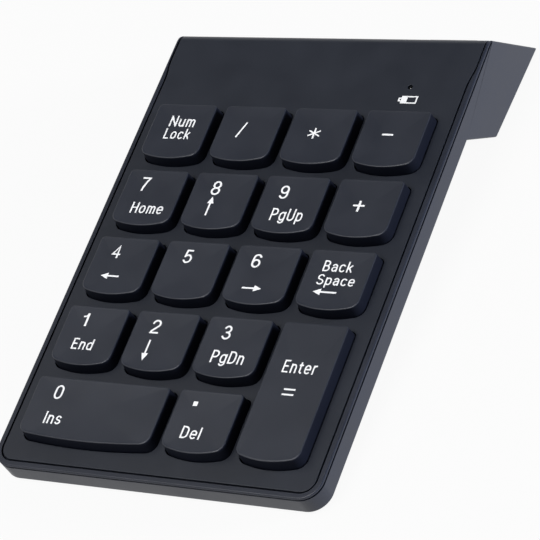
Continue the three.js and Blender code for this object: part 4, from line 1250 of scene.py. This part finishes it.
def make_receiver_shell():
    """A folded sheet with a seam below and two latch windows above."""
    low, high = deck_box("receiver_shell")
    middle, sheet = (low.x + high.x) / 2, SHELL_SHEET
    inside = (low.x + sheet, high.x - sheet, low.y - 5, high.y + 5, low.z + sheet, high.z - sheet)
    shell = carved(box_block("receiver_shell", 0.5, 4), round_block(*inside, 0.25, 3))
    far, near = (high.y - back for back in WINDOW_SPAN)
    for x in (middle - WINDOW_OUT, middle + WINDOW_OUT):
        window = block(x - WINDOW_HALF, x + WINDOW_HALF, far, near, (low.z + high.z) / 2, high.z + 5)
        shell = carved(shell, window)
    ends = (low.y - 1, high.y + 1, low.z - 1, low.z + sheet + 0.1)
    seam = block(middle - SEAM_HALF, middle + SEAM_HALF, *ends)
    shell = carved(shell, seam)
    piece("receiver_shell_sheet", shell, "receiver", "receiver_metal", ["receiver_shell"])


def make_receiver():
    """The shell, a tongue with four gilt strips and a grip with notches down its sides."""
    make_receiver_shell()
    softened("receiver_tongue", "receiver_tongue_bar", "receiver", "receiver_insulator", 0.15, 2)
    low, high = deck_box("receiver_tongue")
    shell_low, shell_high = deck_box("receiver_shell")
    middle = (shell_low.x + shell_high.x) / 2
    strips = []
    for i, start in enumerate(GILT_STARTS):
        x = middle - GILT_SPAN / 2 + GILT_SPAN * i / 3
        span = (x - GILT_HALF, x + GILT_HALF, low.y + start, high.y - GILT_END)
        strips.append(round_block(*span, high.z - 0.02, high.z + 0.06, 0.02, 1))
    gilt = piece("receiver_contacts", together(strips), "receiver", "contact_metal")
    gilt.data.materials[0] = FINISH["receiver_gilt"]
    low, high = deck_box("receiver_grip")
    grip = rounded(cad_solid("receiver_grip"), 0.35, 3)
    for side in (low.x, high.x):
        for i in range(4):
            profile = [(NOTCH_R, low.z - 1), (NOTCH_R, high.z + 1)]
            notch = placed(turned(profile, 12), side, low.y + NOTCH_FROM + NOTCH_PITCH * i)
            grip = carved(grip, notch)
    piece("receiver_grip_shell", grip, "receiver", "receiver_plastic", ["receiver_grip"])


# ---------- fasteners and feet
HEAD_THICK = 0.6
POINT = 0.5
THREADS = 6
THREAD_ROOT = 0.6
THREAD_CREST = 0.79
RECESS_HALF = (0.15, 0.75)
RECESS_DEEP = 0.42


def make_screws():
    """Pan-head screws with a cross recess and a threaded shank."""
    for number in range(1, 7):
        node = f"case_screw_{number}"
        low, high = deck_box(node)
        head, x, y = (high.x - low.x) / 2, (low.x + high.x) / 2, (low.y + high.y) / 2
        seat = low.z + HEAD_THICK
        profile = [(head - 0.25, low.z), (head - 0.08, low.z + 0.08), (head, low.z + 0.25)]
        profile += [(head, seat), (0.78, seat)]
        pitch = (high.z - POINT - seat) / THREADS
        for i in range(THREADS):
            start = seat + pitch * i
            profile += [(THREAD_ROOT, start + 0.35 * pitch), (THREAD_CREST, start + 0.7 * pitch)]
            profile.append((THREAD_ROOT, start + pitch))
        profile += [(0.45, high.z - 0.2), (0.2, high.z)]
        body = placed(turned(profile, 24), x, y)
        for width, length in (RECESS_HALF, RECESS_HALF[::-1]):
            cut = block(x - width, x + width, y - length, y + length, low.z - 1, low.z + RECESS_DEEP)
            body = carved(body, cut)
        piece(node + "_steel", body, "case", "screw_steel", [node])


def make_feet():
    for foot in ("front_left", "front_right", "rear_left", "rear_right"):
        node = "foot_" + foot
        softened(node, node + "_pad", "case", "foot_rubber", 0.35, 3)


# ---------- stage
CAMERA_AT = Vector((0.33848, -0.3375, 0.42891))
CAMERA_AIM = Vector((0.00926, -0.01213, 0.012))
CAMERA_ROLL = radians(-30.34)
CAMERA_LENS = 187.3

# Each lamp is its place and width in metres, its power in watts, and whether gloss mirrors it.
LAMPS = {
    "key_light": ((-0.25, -0.45, 1.4), 1.0, 21, True),
    "front_glow": ((-0.39, 0.0, 0.6), 0.3, 0.35, True),
    "side_light": ((1.1, 0.3, 0.17), 0.3, 26, False),
}
FLOOR_TONE = (0.03, 0.03, 0.03)
FLOOR_GLOW = 0.93
SKY = [(0.2, 1), (0.58, 0.06)]


def make_camera():
    camera = in_scene("camera", bpy.data.cameras.new("camera"))
    camera.data.lens = CAMERA_LENS
    camera.data.clip_start, camera.data.clip_end = 0.05, 20
    camera.location = CAMERA_AT
    camera.rotation_mode = "QUATERNION"
    sight = (CAMERA_AIM - CAMERA_AT).to_track_quat("-Z", "Y")
    camera.rotation_quaternion = sight @ Quaternion((0, 0, 1), CAMERA_ROLL)
    bpy.context.scene.camera = camera


def make_lamps():
    for name, (at, width, power, mirrored) in LAMPS.items():
        light = bpy.data.lights.new(name, "AREA")
        light.shape = "DISK"
        light.size = width
        light.energy = power
        lamp = in_scene(name, light)
        lamp.location = at
        lamp.visible_camera = False
        lamp.visible_glossy = mirrored
        lamp.rotation_euler = (-Vector(at)).to_track_quat("-Z", "Y").to_euler()


def make_floor():
    """A pale floor that glows evenly, like a light table."""
    grid = bmesh.new()
    bmesh.ops.create_grid(grid, x_segments=1, y_segments=1, size=6)
    floor = in_scene("floor", as_mesh(grid, "floor"))
    light_table = surface("light_table", FLOOR_TONE, 0.9, 2, 0, mottle=0.004, patch=200)
    glow = {"Emission Color": (1, 1, 1, 1), "Emission Strength": FLOOR_GLOW, "Specular IOR Level": 0}
    set_values(shader_of(light_table), glow)
    floor.data.materials.append(light_table)


def make_sky():
    """Soft studio light that fades from white below to dark grey above."""
    world = bpy.data.worlds.new("studio")
    bpy.context.scene.world = world
    world.use_nodes = True
    nodes, links = world.node_tree.nodes, world.node_tree.links
    background = next(n for n in nodes if n.type == "BACKGROUND")
    height = nodes.new("ShaderNodeSeparateXYZ")
    links.new(nodes.new("ShaderNodeTexCoord").outputs["Generated"], height.inputs[0])
    ramp = nodes.new("ShaderNodeValToRGB")
    for stop, (position, grey) in zip(ramp.color_ramp.elements, SKY):
        stop.position = position
        stop.color = (grey, grey, grey, 1)
    links.new(height.outputs["Z"], ramp.inputs["Fac"])
    links.new(ramp.outputs["Color"], background.inputs["Color"])
    bpy.context.scene.view_settings.view_transform = "Standard"


make_camera()
make_keys()
make_legends()
make_battery_symbol()
make_plate()
make_upper_case()
make_lower_case()
make_door()
make_domes()
make_membrane()
make_backing()
make_stabilisers()
make_board()
make_knob()
make_cells()
make_contacts()
make_receiver()
make_screws()
make_feet()
make_floor()
make_sky()
make_lamps()
